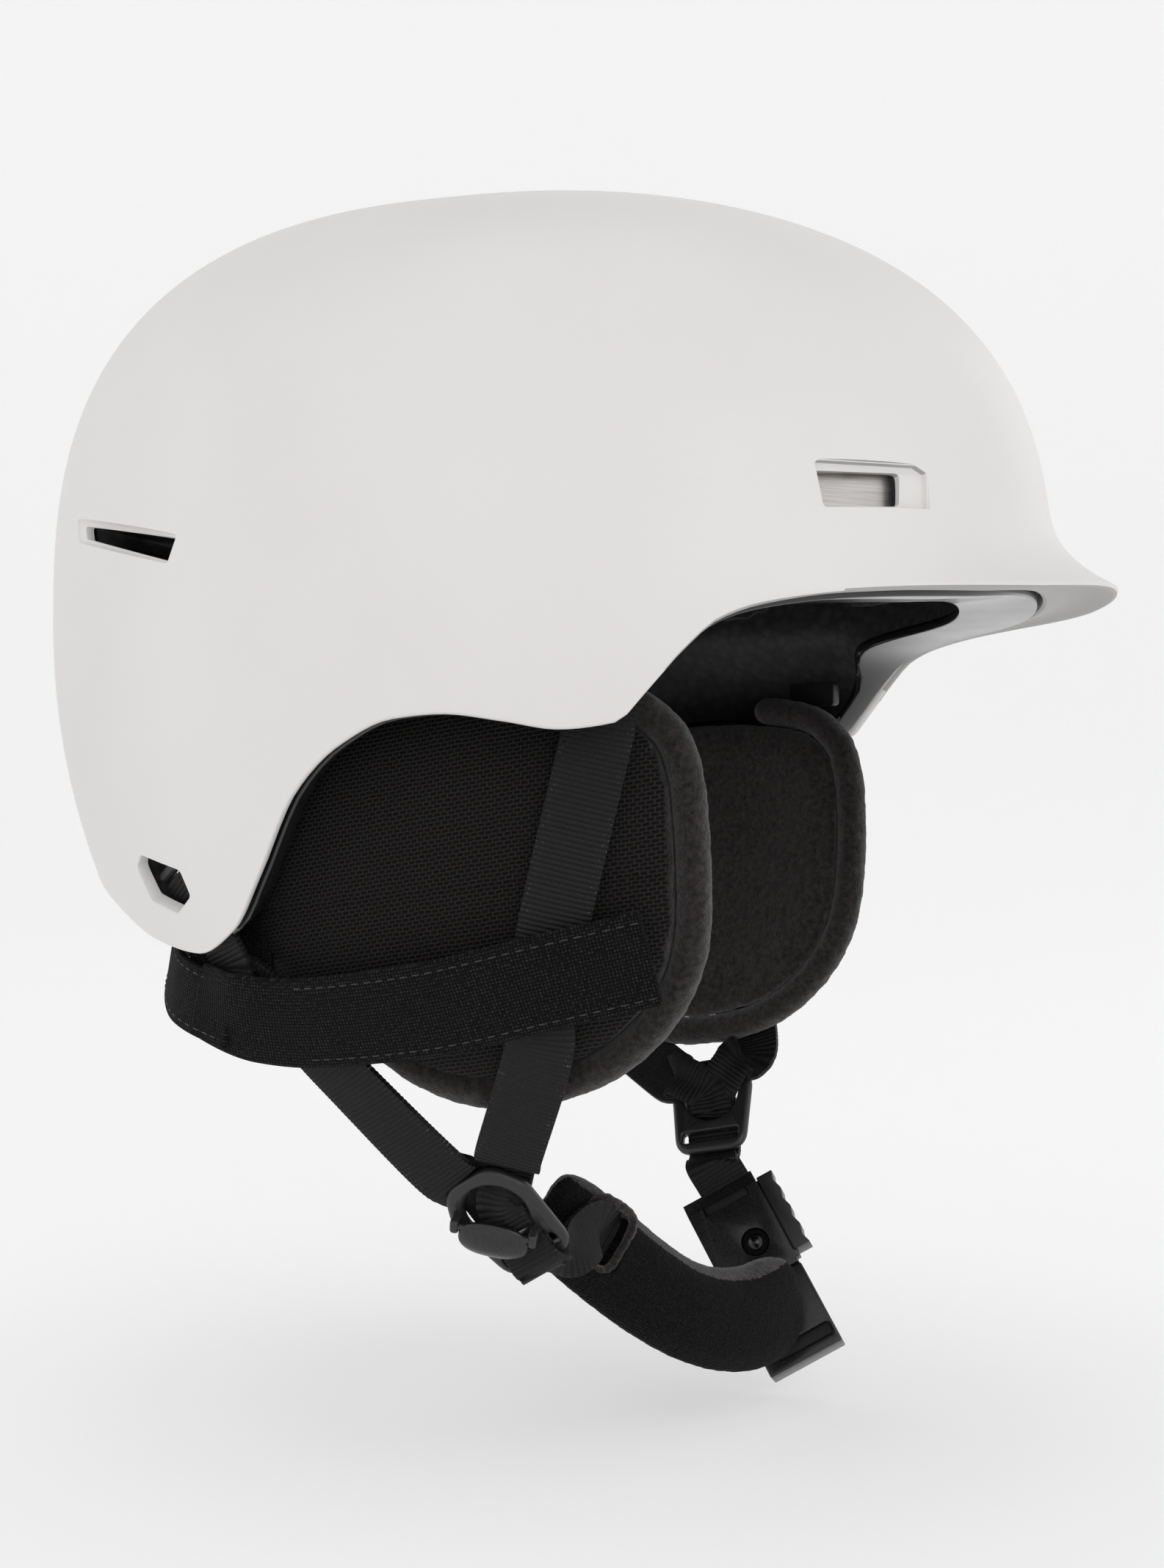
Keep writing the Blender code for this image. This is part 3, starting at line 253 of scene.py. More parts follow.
def makeFleece(name, low, high, sheen=0.35):
    # short brushed pile: clumps about 1 mm across over fine fibres
    mat, tree, shader = baseMaterial(name, roughness=0.95, specular=0.12, Sheen_Weight=sheen, Sheen_Roughness=0.45)
    at = objectCoords(tree)
    clumps = noiseOn(tree, at, 700.0, 4.0, 0.65)
    fibres = noiseOn(tree, at, 3600.0, 3.0, 0.7)
    height = math2(tree, "ADD", clumps, math2(tree, "MULTIPLY", fibres, 0.6))
    tree.links.new(between(tree, height, low, high, 0.62, 0.98), shader.inputs["Base Color"])
    bumpTo(tree, shader, height, 0.9, 0.5 * mm)
    return mat


def makeMeshKnit():
    # spacer mesh: rows of eyelets 1.7 mm wide and 1 mm high, each row half a step along
    mat, tree, shader = baseMaterial("meshKnit", specular=0.10, Sheen_Weight=0.02, Sheen_Roughness=0.5)
    at = objectCoords(tree)
    drift = addNode(tree, "TexNoise", {"Vector": at, "Scale": 260.0, "Detail": 2.0})
    wander = addNode(tree, "VectorMath", {0: drift.outputs["Color"], 1: (0.5, 0.5, 0.5)}, operation="SUBTRACT")
    moved = addNode(tree, "VectorMath", {0: wander.outputs[0], 1: (0.0006, 0.0006, 0.0006)}, operation="MULTIPLY")
    where = addNode(tree, "VectorMath", {0: at, 1: moved.outputs[0]}, operation="ADD").outputs[0]
    split = addNode(tree, "SeparateXYZ", {"Vector": where})
    rise = math2(tree, "ADD", split.outputs["Z"], math2(tree, "MULTIPLY", split.outputs["Y"], 0.17))
    flat = addNode(tree, "CombineXYZ", {"X": split.outputs["Y"], "Y": rise}).outputs[0]
    eyelets = addNode(tree, "TexBrick", {"Vector": flat, "Scale": 1.0, "Mortar Size": 0.30 * mm,
                                         "Mortar Smooth": 1.0, "Brick Width": 1.7 * mm, "Row Height": 0.98 * mm},
                      offset=0.5, squash=1.0)
    threads = eyelets.outputs["Fac"]
    twist = noiseOn(tree, at, 5200.0, 2.0, 0.7)
    height = math2(tree, "ADD", threads, math2(tree, "MULTIPLY", twist, 0.35))
    tree.links.new(between(tree, height, (0.0020, 0.0018, 0.0017), (0.024, 0.0215, 0.0205), 0.25, 1.2),
                   shader.inputs["Base Color"])
    tree.links.new(ranged(tree, twist, 0.55, 0.85), shader.inputs["Roughness"])
    bumpTo(tree, shader, height, 0.9, 0.45 * mm)
    return mat


def makeCanvas(name, pitch, dark, light, flecks):
    # plain weave on the strip's own UV map, with lighter flecks where a warp thread lies on top
    mat, tree, shader = baseMaterial(name, roughness=0.82, specular=0.09, Sheen_Weight=0.02, Sheen_Roughness=0.5)
    at = uvCoords(tree)
    split = addNode(tree, "SeparateXYZ", {"Vector": at})
    turn = 2 * math.pi / pitch
    total = math2(tree, "ADD", split.outputs["X"], split.outputs["Y"])
    across = math2(tree, "SINE", math2(tree, "MULTIPLY", total, turn * 0.5))
    spread = math2(tree, "SUBTRACT", split.outputs["X"], split.outputs["Y"])
    along = math2(tree, "SINE", math2(tree, "MULTIPLY", spread, turn * 0.5))
    weave = math2(tree, "MULTIPLY", across, along)
    scatter = noiseOn(tree, at, 1300.0, 3.0, 0.7)
    bright = math2(tree, "MULTIPLY", ranged(tree, weave, 0.0, 1.0, -0.2, 0.9),
                   ranged(tree, scatter, 0.0, 1.0, 0.38, 0.66))
    tree.links.new(between(tree, bright, dark, light, 0.1, flecks), shader.inputs["Base Color"])
    bumpTo(tree, shader, math2(tree, "ADD", weave, math2(tree, "MULTIPLY", scatter, 0.8)), 0.7, 0.22 * mm)
    return mat


def makeWebbing(halfWidth):
    # cross-ribbed webbing: fine warp lines along it, and painted glints, pale specks on the rib tops near the two
    # selvedges
    mat, tree, shader = baseMaterial("ribWebbing", specular=0.16, Sheen_Weight=0.02, Sheen_Roughness=0.4)
    at = uvCoords(tree)
    split = addNode(tree, "SeparateXYZ", {"Vector": at})
    warp = math2(tree, "SINE", math2(tree, "MULTIPLY", split.outputs["Y"], 2 * math.pi / (0.52 * mm)))
    rib = math2(tree, "SINE", math2(tree, "MULTIPLY", split.outputs["X"], 2 * math.pi / (1.2 * mm)))
    speck = noiseOn(tree, at, 2600.0, 2.0, 0.8)
    near = ranged(tree, math2(tree, "ABSOLUTE", split.outputs["Y"]), 0.0, 1.0, halfWidth - 2.6 * mm, halfWidth)
    glint = math2(tree, "MULTIPLY", ranged(tree, speck, 0.0, 1.0, 0.60, 0.72), near)
    glint = math2(tree, "MULTIPLY", glint, ranged(tree, rib, 0.0, 1.0, 0.0, 0.8))
    tone = math2(tree, "ADD", math2(tree, "MULTIPLY", ranged(tree, rib, 0.0, 1.0, -1.0, 1.0), 0.5),
                 math2(tree, "MULTIPLY", ranged(tree, warp, 0.0, 1.0, -1.0, 1.0), 0.25))
    ground = between(tree, tone, (0.002, 0.002, 0.0022), (0.022, 0.021, 0.0215))
    # the pale colour mixed in by glint is a painted highlight on the ribs near the selvedges
    mix = addNode(tree, "Mix", data_type="RGBA")
    tree.links.new(glint, mix.inputs[0])
    tree.links.new(ground, mix.inputs[6])
    mix.inputs[7].default_value = (0.30, 0.29, 0.26, 1.0)
    tree.links.new(mix.outputs[2], shader.inputs["Base Color"])
    tree.links.new(ranged(tree, speck, 0.42, 0.68), shader.inputs["Roughness"])
    bumpTo(tree, shader, math2(tree, "ADD", math2(tree, "MULTIPLY", warp, 0.5), speck), 0.55, 0.09 * mm)
    return mat


def makeGrainPlastic(name="grainPlastic", dark=0.010, light=0.019, rough=(0.30, 0.46), bump=0.35):
    mat, tree, shader = baseMaterial(name, specular=0.5)
    at = objectCoords(tree)
    grain = noiseOn(tree, at, 2400.0, 3.0, 0.6)
    tree.links.new(between(tree, grain, (dark,) * 3, (light, light, light * 1.03), 0.3, 0.7),
                   shader.inputs["Base Color"])
    tree.links.new(ranged(tree, grain, *rough, 0.3, 0.7), shader.inputs["Roughness"])
    bumpTo(tree, shader, grain, bump, 0.08 * mm)
    return mat


def makeBrushed(name="brushedPlate"):
    mat, tree, shader = baseMaterial(name, metallic=1.0, Anisotropic=0.4)
    at = objectCoords(tree)
    stretched = addNode(tree, "Mapping", {"Vector": at, "Scale": (60.0, 60.0, 2600.0)}).outputs[0]
    lines = noiseOn(tree, stretched, 1.0, 3.0)
    tree.links.new(ranged(tree, lines, 0.24, 0.42), shader.inputs["Roughness"])
    tree.links.new(between(tree, lines, (0.52, 0.50, 0.48), (0.68, 0.66, 0.64), 0.3, 0.7),
                   shader.inputs["Base Color"])
    bumpTo(tree, shader, lines, 0.15, 0.03 * mm)
    return mat


def makeThread():
    mat, tree, shader = baseMaterial("thread", roughness=0.7, specular=0.3, Sheen_Weight=0.3)
    at = objectCoords(tree)
    ply = noiseOn(tree, at, 4000.0, 2.0)
    tree.links.new(between(tree, ply, (0.012, 0.012, 0.012), (0.045, 0.044, 0.042), 0.3, 0.8),
                   shader.inputs["Base Color"])
    bumpTo(tree, shader, ply, 0.4, 0.1 * mm)
    return mat


webbingWidth = 16.0 * mm
shellPaint = makeShellPaint()
# darker copy of the shell paint: painted shade for the underside of the brim
shellPaintedShade = makeShellPaint("shellUndersidePaintedShade", 0.52)
foam = makeFoam()
glossTrim = makeGlossTrim()
fleece = makeFleece("fleecePile", (0.006, 0.005, 0.005), (0.040, 0.034, 0.032))
fleeceDark = makeFleece("fleeceLining", (0.003, 0.003, 0.003), (0.016, 0.014, 0.013), 0.15)
meshKnit = makeMeshKnit()
canvas = makeCanvas("bandCanvas", 0.80 * mm, (0.003, 0.003, 0.0031), (0.050, 0.048, 0.046), 1.0)
chinKnit = makeCanvas("chinKnit", 0.62 * mm, (0.003, 0.003, 0.003), (0.030, 0.029, 0.028), 1.0)
webbing = makeWebbing(webbingWidth / 2)
grainPlastic = makeGrainPlastic()
smoothPlastic = makeGrainPlastic("smoothPlastic", 0.008, 0.012, (0.22, 0.32), 0.12)
blackGloss = makeGrainPlastic("blackGloss", 0.004, 0.006, (0.08, 0.14), 0.05)
brushed = makeBrushed()
thread = makeThread()
print("materials made")


# the shell's form: a dome drawn from its front, rear and side outlines, with a brim that flares out at the front

dome = {
    "front": 134.5 * mm, "rear": 129.0 * mm, "side": 113.0 * mm, "crown": 106.0 * mm, "widest": 41.0 * mm,
    "wall": 3.0 * mm, "brim": 16.5 * mm, "brimAngle": 52.0,
    "edge": [(0, 47), (18, 44.5), (36, 42), (45, 39), (49.5, 35.5), (53, 29), (56.5, 20.5), (60, 13), (66, 11.5),
             (72, 13.3), (79, 15), (85, 14), (92, 8), (98, -2), (105, -22), (111, -35), (119, -41), (129, -38.5),
             (140, -31), (151, -24.5), (163, -21.5), (180, -20.5)],
}


def wallRadius(polar, reach, squareness, tuck):
    s, c = abs(math.sin(polar)), math.cos(polar)
    if c >= 0:
        return ((s / reach) ** squareness + (c / dome["crown"]) ** squareness) ** (-1 / squareness)
    return ((s / reach) ** 2 + (c / tuck) ** 2) ** -0.5


def domePoint(azimuth, polar, inset=0.0):
    ca, sa = math.cos(azimuth), math.sin(azimuth)
    if ca > 0:
        lengthwise = wallRadius(polar, dome["front"], 2.8, 176 * mm)
    else:
        lengthwise = wallRadius(polar, dome["rear"], 2.75, 150 * mm)
    sideways = wallRadius(polar, dome["side"], 3.2, 186 * mm)
    n = 2 + 0.15 * math.sin(polar) ** 2
    r = ((abs(ca) / lengthwise) ** n + (abs(sa) / sideways) ** n) ** (-1 / n) - inset
    return Vector((r * math.sin(polar) * sa, -r * math.sin(polar) * ca, dome["widest"] + r * math.cos(polar)))


def polarAt(azimuth, height):
    low, high = 0.0, math.radians(150)
    for _ in range(30):
        mid = (low + high) / 2
        if domePoint(azimuth, mid).z > height:
            low = mid
        else:
            high = mid
    return (low + high) / 2


def foldedDegrees(azimuth):
    return abs(math.degrees(math.atan2(math.sin(azimuth), math.cos(azimuth))))


edgeSlopes = [(b[1] - a[1]) / (b[0] - a[0]) for a, b in zip(dome["edge"], dome["edge"][1:])]


def edgeHeight(azimuth):
    # height of the shell's lower edge, by a monotone curve through its points
    a = foldedDegrees(azimuth)
    pts = dome["edge"]
    i = max(j for j in range(len(pts) - 1) if pts[j][0] <= a)

    def tangent(j):
        if j in (0, len(pts) - 1) or edgeSlopes[j - 1] * edgeSlopes[j] <= 0:
            return 0.0
        return 2 * edgeSlopes[j - 1] * edgeSlopes[j] / (edgeSlopes[j - 1] + edgeSlopes[j])

    step = pts[i + 1][0] - pts[i][0]
    f = (a - pts[i][0]) / step
    h = ((2 * f ** 3 - 3 * f ** 2 + 1) * pts[i][1] + (f ** 3 - 2 * f ** 2 + f) * step * tangent(i)
         + (3 * f ** 2 - 2 * f ** 3) * pts[i + 1][1] + (f ** 3 - f ** 2) * step * tangent(i + 1))
    return h * mm


def brimFlare(azimuth, height):
    side = 1 - smoothstep(0, dome["brimAngle"], foldedDegrees(azimuth))
    above = (height - edgeHeight(azimuth)) / (26 * mm)
    return dome["brim"] * side * max(0.0, 1 - above) ** 3


def bowl(segments, rows, place):
    # closed bowl: place(azimuth, row) gives each point, from the crown outside down and up again inside
    bm = bmesh.new()
    bmesh.ops.create_uvsphere(bm, u_segments=segments, v_segments=rows, radius=1.0)
    for v in bm.verts:
        row = round(math.acos(max(-1, min(1, v.co.z))) / math.pi * rows)
        v.co = place(math.atan2(v.co.x, -v.co.y), row)
    return bm


shellLook = {"segments": 288, "outRows": 72, "lipRows": 12, "inRows": 16, "lip": 1.5 * mm, "arch": 0.16}


def buildShell():
    look = shellLook
    rows = look["outRows"] + look["lipRows"] + look["inRows"]
    lip = look["lip"]
    edges = {}

    def edgeOf(azimuth):
        key = round(azimuth, 5)
        if key not in edges:
            polar = polarAt(azimuth, edgeHeight(azimuth) + lip)
            rim = domePoint(azimuth, polar)
            flare = brimFlare(azimuth, rim.z - lip)
            out = Vector((math.sin(azimuth), -math.cos(azimuth), 0))
            edges[key] = (polar, rim + out * flare, domePoint(azimuth, polar, dome["wall"]), flare)
        return edges[key]

    def place(azimuth, row):
        polar, rim, inner, flare = edgeOf(azimuth)
        if row <= look["outRows"]:
            here = domePoint(azimuth, polar * (row / look["outRows"]) ** 0.85)
            reach = brimFlare(azimuth, here.z - lip)
            return here + Vector((math.sin(azimuth), -math.cos(azimuth), 0)) * reach
        if row < look["outRows"] + look["lipRows"]:
            u = (1 - math.cos(math.pi * (row - look["outRows"]) / look["lipRows"])) / 2
            width = (inner - rim).length
            near = min(u, 1 - u) * width
            drop = math.sqrt(max(0.0, lip ** 2 - (lip - near) ** 2)) if near < lip else lip
            arch = flare * look["arch"] * math.sin(math.pi * u) ** 1.5
            return rim.lerp(inner, u) + Vector((0, 0, arch - drop))
        share = (rows - row) / look["inRows"]
        return domePoint(azimuth, polar * share ** 0.85, dome["wall"])

    return bowl(look["segments"], rows, place)


# vents: each outline lists corners as (azimuth in degrees, height in mm, corner radius in mm)

vents = {
    "front": [(39.3, 69.1, 1.0), (29.1, 69.9, 1.4), (29.3, 62.4, 1.4), (38.4, 61.1, 0.9)],
    "frontPocket": [(39.5, 71.0, 1.0), (27.6, 71.4, 0.5), (26.2, 70.0, 0.5), (26.4, 61.9, 0.4), (38.7, 60.9, 0.9)],
    "rear": [(114.3, 57.0, 0.8), (134.6, 63.5, 0.8), (133.9, 60.1, 0.8), (115.7, 51.8, 0.8)],
    "rearPocket": [(114.1, 57.6, 0.8), (136.2, 65.2, 1.0), (135.2, 59.6, 1.0), (115.6, 51.4, 0.8)],
    "hex": [(126.1, -17.3, 1.5), (118.4, -20.6, 1.5), (117.4, -26.6, 1.5), (121.1, -30.9, 1.5), (126.6, -28.1, 1.8),
            (128.0, -20.4, 1.8)],
}
topVent = {"x": 42.0 * mm, "y": 8.0 * mm, "halfLength": 17.0 * mm, "halfWidth": 4.0 * mm, "corner": 2.0 * mm}


def roundedOutline(corners, grow=0.0, steps=5):
    # flat outline with each corner rounded, grown outwards; corners are (x, y, radius)
    area = sum(a[0] * b[1] - b[0] * a[1] for a, b in zip(corners, corners[1:] + corners[:1]))
    if area < 0:
        corners = corners[::-1]
    out = []
    count = len(corners)
    for i in range(count):
        here = Vector(corners[i][:2])
        into = (here - Vector(corners[i - 1][:2])).normalized()
        away = (Vector(corners[(i + 1) % count][:2]) - here).normalized()
        turn = max(0.05, into.angle(away))
        radius = corners[i][2] + grow
        moved = here + (into - away).normalized() * grow / math.cos(turn / 2)
        back = max(radius, 0.02 * mm) * math.tan(turn / 2)
        start, end = moved - into * back, moved + away * back
        for k in range(steps + 1):
            f = k / steps
            out.append((1 - f) ** 2 * start + 2 * f * (1 - f) * moved + f ** 2 * end)
    return out


def loftCutter(loops):
    # closed solid through loops of points with the same count
    count = len(loops[0])
    bm = bmesh.new()
    bmesh.ops.create_grid(bm, x_segments=count, y_segments=len(loops) - 1, size=0.5)
    for v in bm.verts:
        v.co = loops[v.index // (count + 1)][v.index % (count + 1) % count]
    bmesh.ops.remove_doubles(bm, verts=bm.verts, dist=1e-7)
    bmesh.ops.holes_fill(bm, edges=[e for e in bm.edges if e.is_boundary], sides=0)
    return addPiece(bm, "cutter", [])


def ventCutter(side, corners, levels):
    # levels are (depth below the shell's face, growth of the outline)
    az0 = sum(c[0] for c in corners) / len(corners)
    h0 = sum(c[1] for c in corners) / len(corners) * mm
    middle = domePoint(math.radians(az0), polarAt(math.radians(az0), h0))
    radius = math.hypot(middle.x, middle.y)
    flat = [(math.radians(a - az0) * radius, h * mm - h0, r * mm) for a, h, r in corners]
    loops = []
    for depth, grow in levels:
        loop = []
        for p in roundedOutline(flat, grow):
            azimuth = side * (math.radians(az0) + p.x / radius)
            loop.append(domePoint(azimuth, polarAt(azimuth, h0 + p.y), depth))
        loops.append(loop)
    return loftCutter(loops)


def topCutter(side, grow=0.0, deep=12 * mm):
    v = topVent
    corners = [(side * v["x"] + sx * v["halfWidth"], v["y"] + sy * v["halfLength"], v["corner"])
               for sx, sy in ((-1, -1), (1, -1), (1, 1), (-1, 1))]
    loops = []
    for depth, more in ((-4 * mm, 0.7 * mm), (0.0, 0.7 * mm), (0.35 * mm, 0.25 * mm), (1.0 * mm, 0.0), (deep, 0.0)):
        loop = []
        for p in roundedOutline(corners, grow + more):
            azimuth = math.atan2(p.x, -p.y)
            low, high = 0.0, 1.2
            for _ in range(30):
                mid = (low + high) / 2
                here = domePoint(azimuth, mid)
                if math.hypot(here.x, here.y) < math.hypot(p.x, p.y):
                    low = mid
                else:
                    high = mid
            surface = domePoint(azimuth, low)
            loop.append(surface - Vector((0, 0, depth)))
        loops.append(loop)
    return loftCutter(loops)


openLevels = ((-3 * mm, 0.45 * mm), (0.0, 0.45 * mm), (0.22 * mm, 0.12 * mm), (0.7 * mm, 0.0), (7 * mm, 0.0))
pocketLevels = ((-3 * mm, 0.30 * mm), (0.0, 0.30 * mm), (0.2 * mm, 0.06 * mm), (0.5 * mm, 0.0), (1.3 * mm, -0.15 * mm))
throughLevels = ((-3 * mm, 0.0), (7 * mm, 0.0))
shellBody = addPiece(buildShell(), "shellBody", [shellPaint], "root", ["outer_shell"], "shell_white", sharp=24)
cutters = []
for side in (1, -1):
    cutters += [ventCutter(side, vents["frontPocket"], pocketLevels), ventCutter(side, vents["front"], throughLevels)]
    cutters += [ventCutter(side, vents["rearPocket"], pocketLevels[:3] + ((0.7 * mm, -0.1 * mm),))]
    cutters += [ventCutter(side, vents["rear"], throughLevels), ventCutter(side, vents["hex"], openLevels)]
    cutters += [topCutter(side)]
carve(shellBody, cutters)
shellBody.data.set_sharp_from_angle(angle=math.radians(24))
shellBody.data.materials.append(shellPaintedShade)
for face in shellBody.data.polygons:
    # the brim's moulded underside gets the darker copy of the paint: painted shade
    if face.normal.z < -0.55 and face.center.y < -70 * mm:
        face.material_index = 1
print("shell carved")


# foam liner and its gloss rim

linerLook = {"segments": 200, "rows": 46, "thick": 20.0 * mm, "earThick": 6.5 * mm, "bond": 1.1 * mm,
             "rimHeight": 3.0 * mm, "rimDrop": 1.0 * mm, "gap": 0.4 * mm}
linerInset = dome["wall"] + linerLook["bond"]


def linerThickness(azimuth, height):
    a = foldedDegrees(azimuth)
    beside = smoothstep(42, 54, a) * (1 - smoothstep(130, 152, a))
    thin = beside * (1 - smoothstep(24 * mm, 46 * mm, height))
    return linerLook["thick"] - (linerLook["thick"] - linerLook["earThick"]) * thin


def strapNotch(side):
    # passage of the rear strap through the liner and its rim
    low, top = (domePoint(math.radians(side * a), polarAt(math.radians(side * a), h * mm), linerInset + 1.8 * mm)
                for a, h in ((117.0, -46.0), (122.5, -24.0)))
    at = axesAt(top.lerp(low, 0.5), low - top, (side * 0.85, 0.5, -0.15))
    half = ((low - top).length + 24 * mm) / 2
    wide = webbingWidth / 2 + 0.9 * mm
    corners = [(-half, -wide, 1 * mm), (half, -wide, 1 * mm), (half, wide, 1 * mm), (-half, wide, 1 * mm)]
    return loftCutter([[at @ Vector((p.x, p.y, z)) for p in roundedOutline(corners)] for z in (-2.6 * mm, 5.0 * mm)])


def buildLiner():
    look = linerLook
    rows = 2 * look["rows"] + 1
    polars = {}

    def place(azimuth, row):
        key = round(azimuth, 5)
        if key not in polars:
            polars[key] = polarAt(azimuth, edgeHeight(azimuth) + look["rimHeight"] + look["gap"] - look["rimDrop"])
        if row <= look["rows"]:
            return domePoint(azimuth, polars[key] * (row / look["rows"]) ** 0.8, linerInset)
        polar = polars[key] * ((rows - row) / look["rows"]) ** 0.8
        height = domePoint(azimuth, polar).z
        # shallow channels run front to back over the crown
        here = domePoint(azimuth, polar, linerInset + look["thick"])
        channel = 4.0 * mm * math.exp(-((abs(here.x) - 42 * mm) / (7 * mm)) ** 4) * smoothstep(70 * mm, 90 * mm, height)
        return domePoint(azimuth, polar, linerInset + linerThickness(azimuth, height) - channel)

    return bowl(look["segments"], rows, place)


liner = addPiece(buildLiner(), "linerFoam", [foam], "root", ["foam_liner"], "liner_foam")
cutters = []
for side in (1, -1):
    cutters += [ventCutter(side, vents["front"], ((-6 * mm, 1.2 * mm), (7.6 * mm, 1.2 * mm)))]
    cutters += [ventCutter(side, vents["rear"], ((-6 * mm, 0.8 * mm), (60 * mm, 0.8 * mm)))]
    cutters += [ventCutter(side, vents["hex"], ((-6 * mm, 4.0 * mm), (14 * mm, 4.0 * mm)))]
    cutters += [topCutter(side, 0.6 * mm, 40 * mm), strapNotch(side)]
carve(liner, cutters)


def buildRim():
    look = linerLook
    bm = bmesh.new()
    bmesh.ops.create_cone(bm, segments=look["segments"], radius1=1.0, radius2=1.0, depth=2.0, cap_ends=False)
    bmesh.ops.recalc_face_normals(bm, faces=bm.faces)
    grown = bmesh.ops.extrude_face_region(bm, geom=list(bm.faces))["geom"]
    inner = {g for g in grown if isinstance(g, bmesh.types.BMVert)}
    for v in bm.verts:
        a = math.atan2(v.co.x, -v.co.y)
        height = edgeHeight(a) - look["rimDrop"] + (0 if v.co.z < 0 else look["rimHeight"])
        inset = linerInset + (linerThickness(a, height + look["gap"]) if v in inner else 0.0)
        v.co = domePoint(a, polarAt(a, height), inset)
    bmesh.ops.recalc_face_normals(bm, faces=bm.faces)
    around = [e for e in bm.edges if len(e.link_faces) == 2 and e.calc_face_angle(0) > math.radians(50)]
    bmesh.ops.bevel(bm, geom=around, offset=0.9 * mm, affect="EDGES", segments=3, profile=0.5, material=-1,
                    clamp_overlap=True)
    return bm


rim = addPiece(buildRim(), "linerRim", [glossTrim], "root", ["liner_trim"], "trim_black")
carve(rim, [strapNotch(1), strapNotch(-1)])
for tag in ("left", "right"):
    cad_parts["vent_plate_" + tag].data.materials.clear()
    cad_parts["vent_plate_" + tag].data.materials.append(brushed)
print("liner made")


# soft goods: closed crowned pads, swollen by cloth pressure

def pillow(place, segments, rings, roundness=0.5):
    # place(share from the centre, angle, side from -1 to 1) gives each point
    bm = bmesh.new()
    bmesh.ops.create_uvsphere(bm, u_segments=segments, v_segments=rings, radius=1.0)
    for v in bm.verts:
        polar = math.acos(max(-1, min(1, v.co.z)))
        side = math.copysign(abs(math.cos(polar)) ** roundness, math.cos(polar))
        v.co = place(math.sin(polar) ** roundness, math.atan2(v.co.y, v.co.x), side)
    return bm


def inflate(obj, voxel, cap, pressure=4.0, grow=10.0):
    # cloth pressure at ten times its size; no point ends further than cap from its start
    mod = obj.modifiers.new("voxels", "REMESH")
    mod.mode = "VOXEL"
    mod.voxel_size = voxel
    applyModifiers(obj)
    start = [v.co.copy() for v in obj.data.vertices]
    obj.data.transform(Matrix.Scale(grow, 4))
    cloth = obj.modifiers.new("cloth", "CLOTH")
    cloth.settings.quality = 5
    cloth.settings.mass = 0.05
    cloth.settings.use_pressure = True
    cloth.settings.uniform_pressure_force = pressure
    cloth.settings.effector_weights.gravity = 0.0
    cloth.point_cache.frame_start = 1
    cloth.point_cache.frame_end = 20
    for step in range(1, 21):
        scene.frame_set(step)
    applyModifiers(obj)
    scene.frame_set(1)
    for v, first in zip(obj.data.vertices, start):
        shift = v.co / grow - first
        v.co = first + shift * min(1.0, cap / max(shift.length, 1e-9))
    print("inflated", obj.name, len(start), "points")


def roughen(obj, amount, scale, fine=0.0, fineScale=1500.0):
    # uneven nap: points move along their normals
    shifts = [noise.noise(v.co * scale) * amount + noise.noise(v.co * fineScale) * fine for v in obj.data.vertices]
    moved = [v.co + v.normal * d for v, d in zip(obj.data.vertices, shifts)]
    for v, p in zip(obj.data.vertices, moved):
        v.co = p


def subdivide(obj, levels=1):
    mod = obj.modifiers.new("smooth", "SUBSURF")
    mod.levels = mod.render_levels = levels
    applyModifiers(obj)


def softPad(bm, name, materials, nodes, slotName, look, shape=None):
    # a stuffed piece: swollen, subdivided, drawn in at its seams and given its nap
    obj = addPiece(bm, name, materials, None, nodes, slotName, sharp=180)
    inflate(obj, look["voxel"], look["cap"])
    subdivide(obj)
    if shape:
        moved = [shape(v.co.copy(), v.normal) for v in obj.data.vertices]
        for v, p in zip(obj.data.vertices, moved):
            v.co = p
    if look["nap"]:
        roughen(obj, look["nap"], 420.0, look["nap"] * 0.7)
    obj.data.shade_smooth()
    return obj


def mirrored(obj, name, nodes, slotName, body):
    bm = bmesh.new()
    bm.from_mesh(obj.data)
    bmesh.ops.scale(bm, vec=(-1, 1, 1), verts=bm.verts)
    bmesh.ops.reverse_faces(bm, faces=bm.faces)
    twin = addPiece(bm, name, list(obj.data.materials), body, nodes, slotName, sharp=180, outward=False)
    return twin


def roundedSquare(share, angle, sharpness=4):
    c, s = math.cos(angle), math.sin(angle)
    k = share / (abs(c) ** sharpness + abs(s) ** sharpness) ** (1 / sharpness)
    return k * c, k * s


fitPads = {"thick": 7.0 * mm, "stand": 1.6 * mm, "voxel": 2.4 * mm, "cap": 1.3 * mm, "fill": 0.7, "nap": 0.12 * mm}


def domePad(azimuth, halfAngle, top, bottom, follow=False):
    def place(share, angle, side):
        p, q = roundedSquare(share, angle)
        a = math.radians(azimuth + p * halfAngle)
        low = edgeHeight(a) + bottom if follow else bottom
        height = (top + low) / 2 + q * (top - low) / 2
        inset = linerInset + linerThickness(a, height) + fitPads["stand"] + fitPads["thick"] * (1 - side) / 2
        return domePoint(a, polarAt(a, height), inset)
    return pillow(place, 48, 14)


def crownPad(share, angle, side):
    p, q = roundedSquare(share, angle)
    inset = linerInset + linerLook["thick"] + 0.8 * mm + fitPads["thick"] * (1 - side) / 2
    return domePoint(math.atan2(p, q), math.radians(27) * math.hypot(p, q), inset)


def sewnChannels(spacing):
    # sewn channels across a pad that follows the dome
    def shape(co, normal):
        off = (math.degrees(math.atan2(co.x, -co.y)) + spacing / 2) % spacing - spacing / 2
        return co - normal * 0.9 * mm * math.exp(-(off / 0.9) ** 2)
    return shape


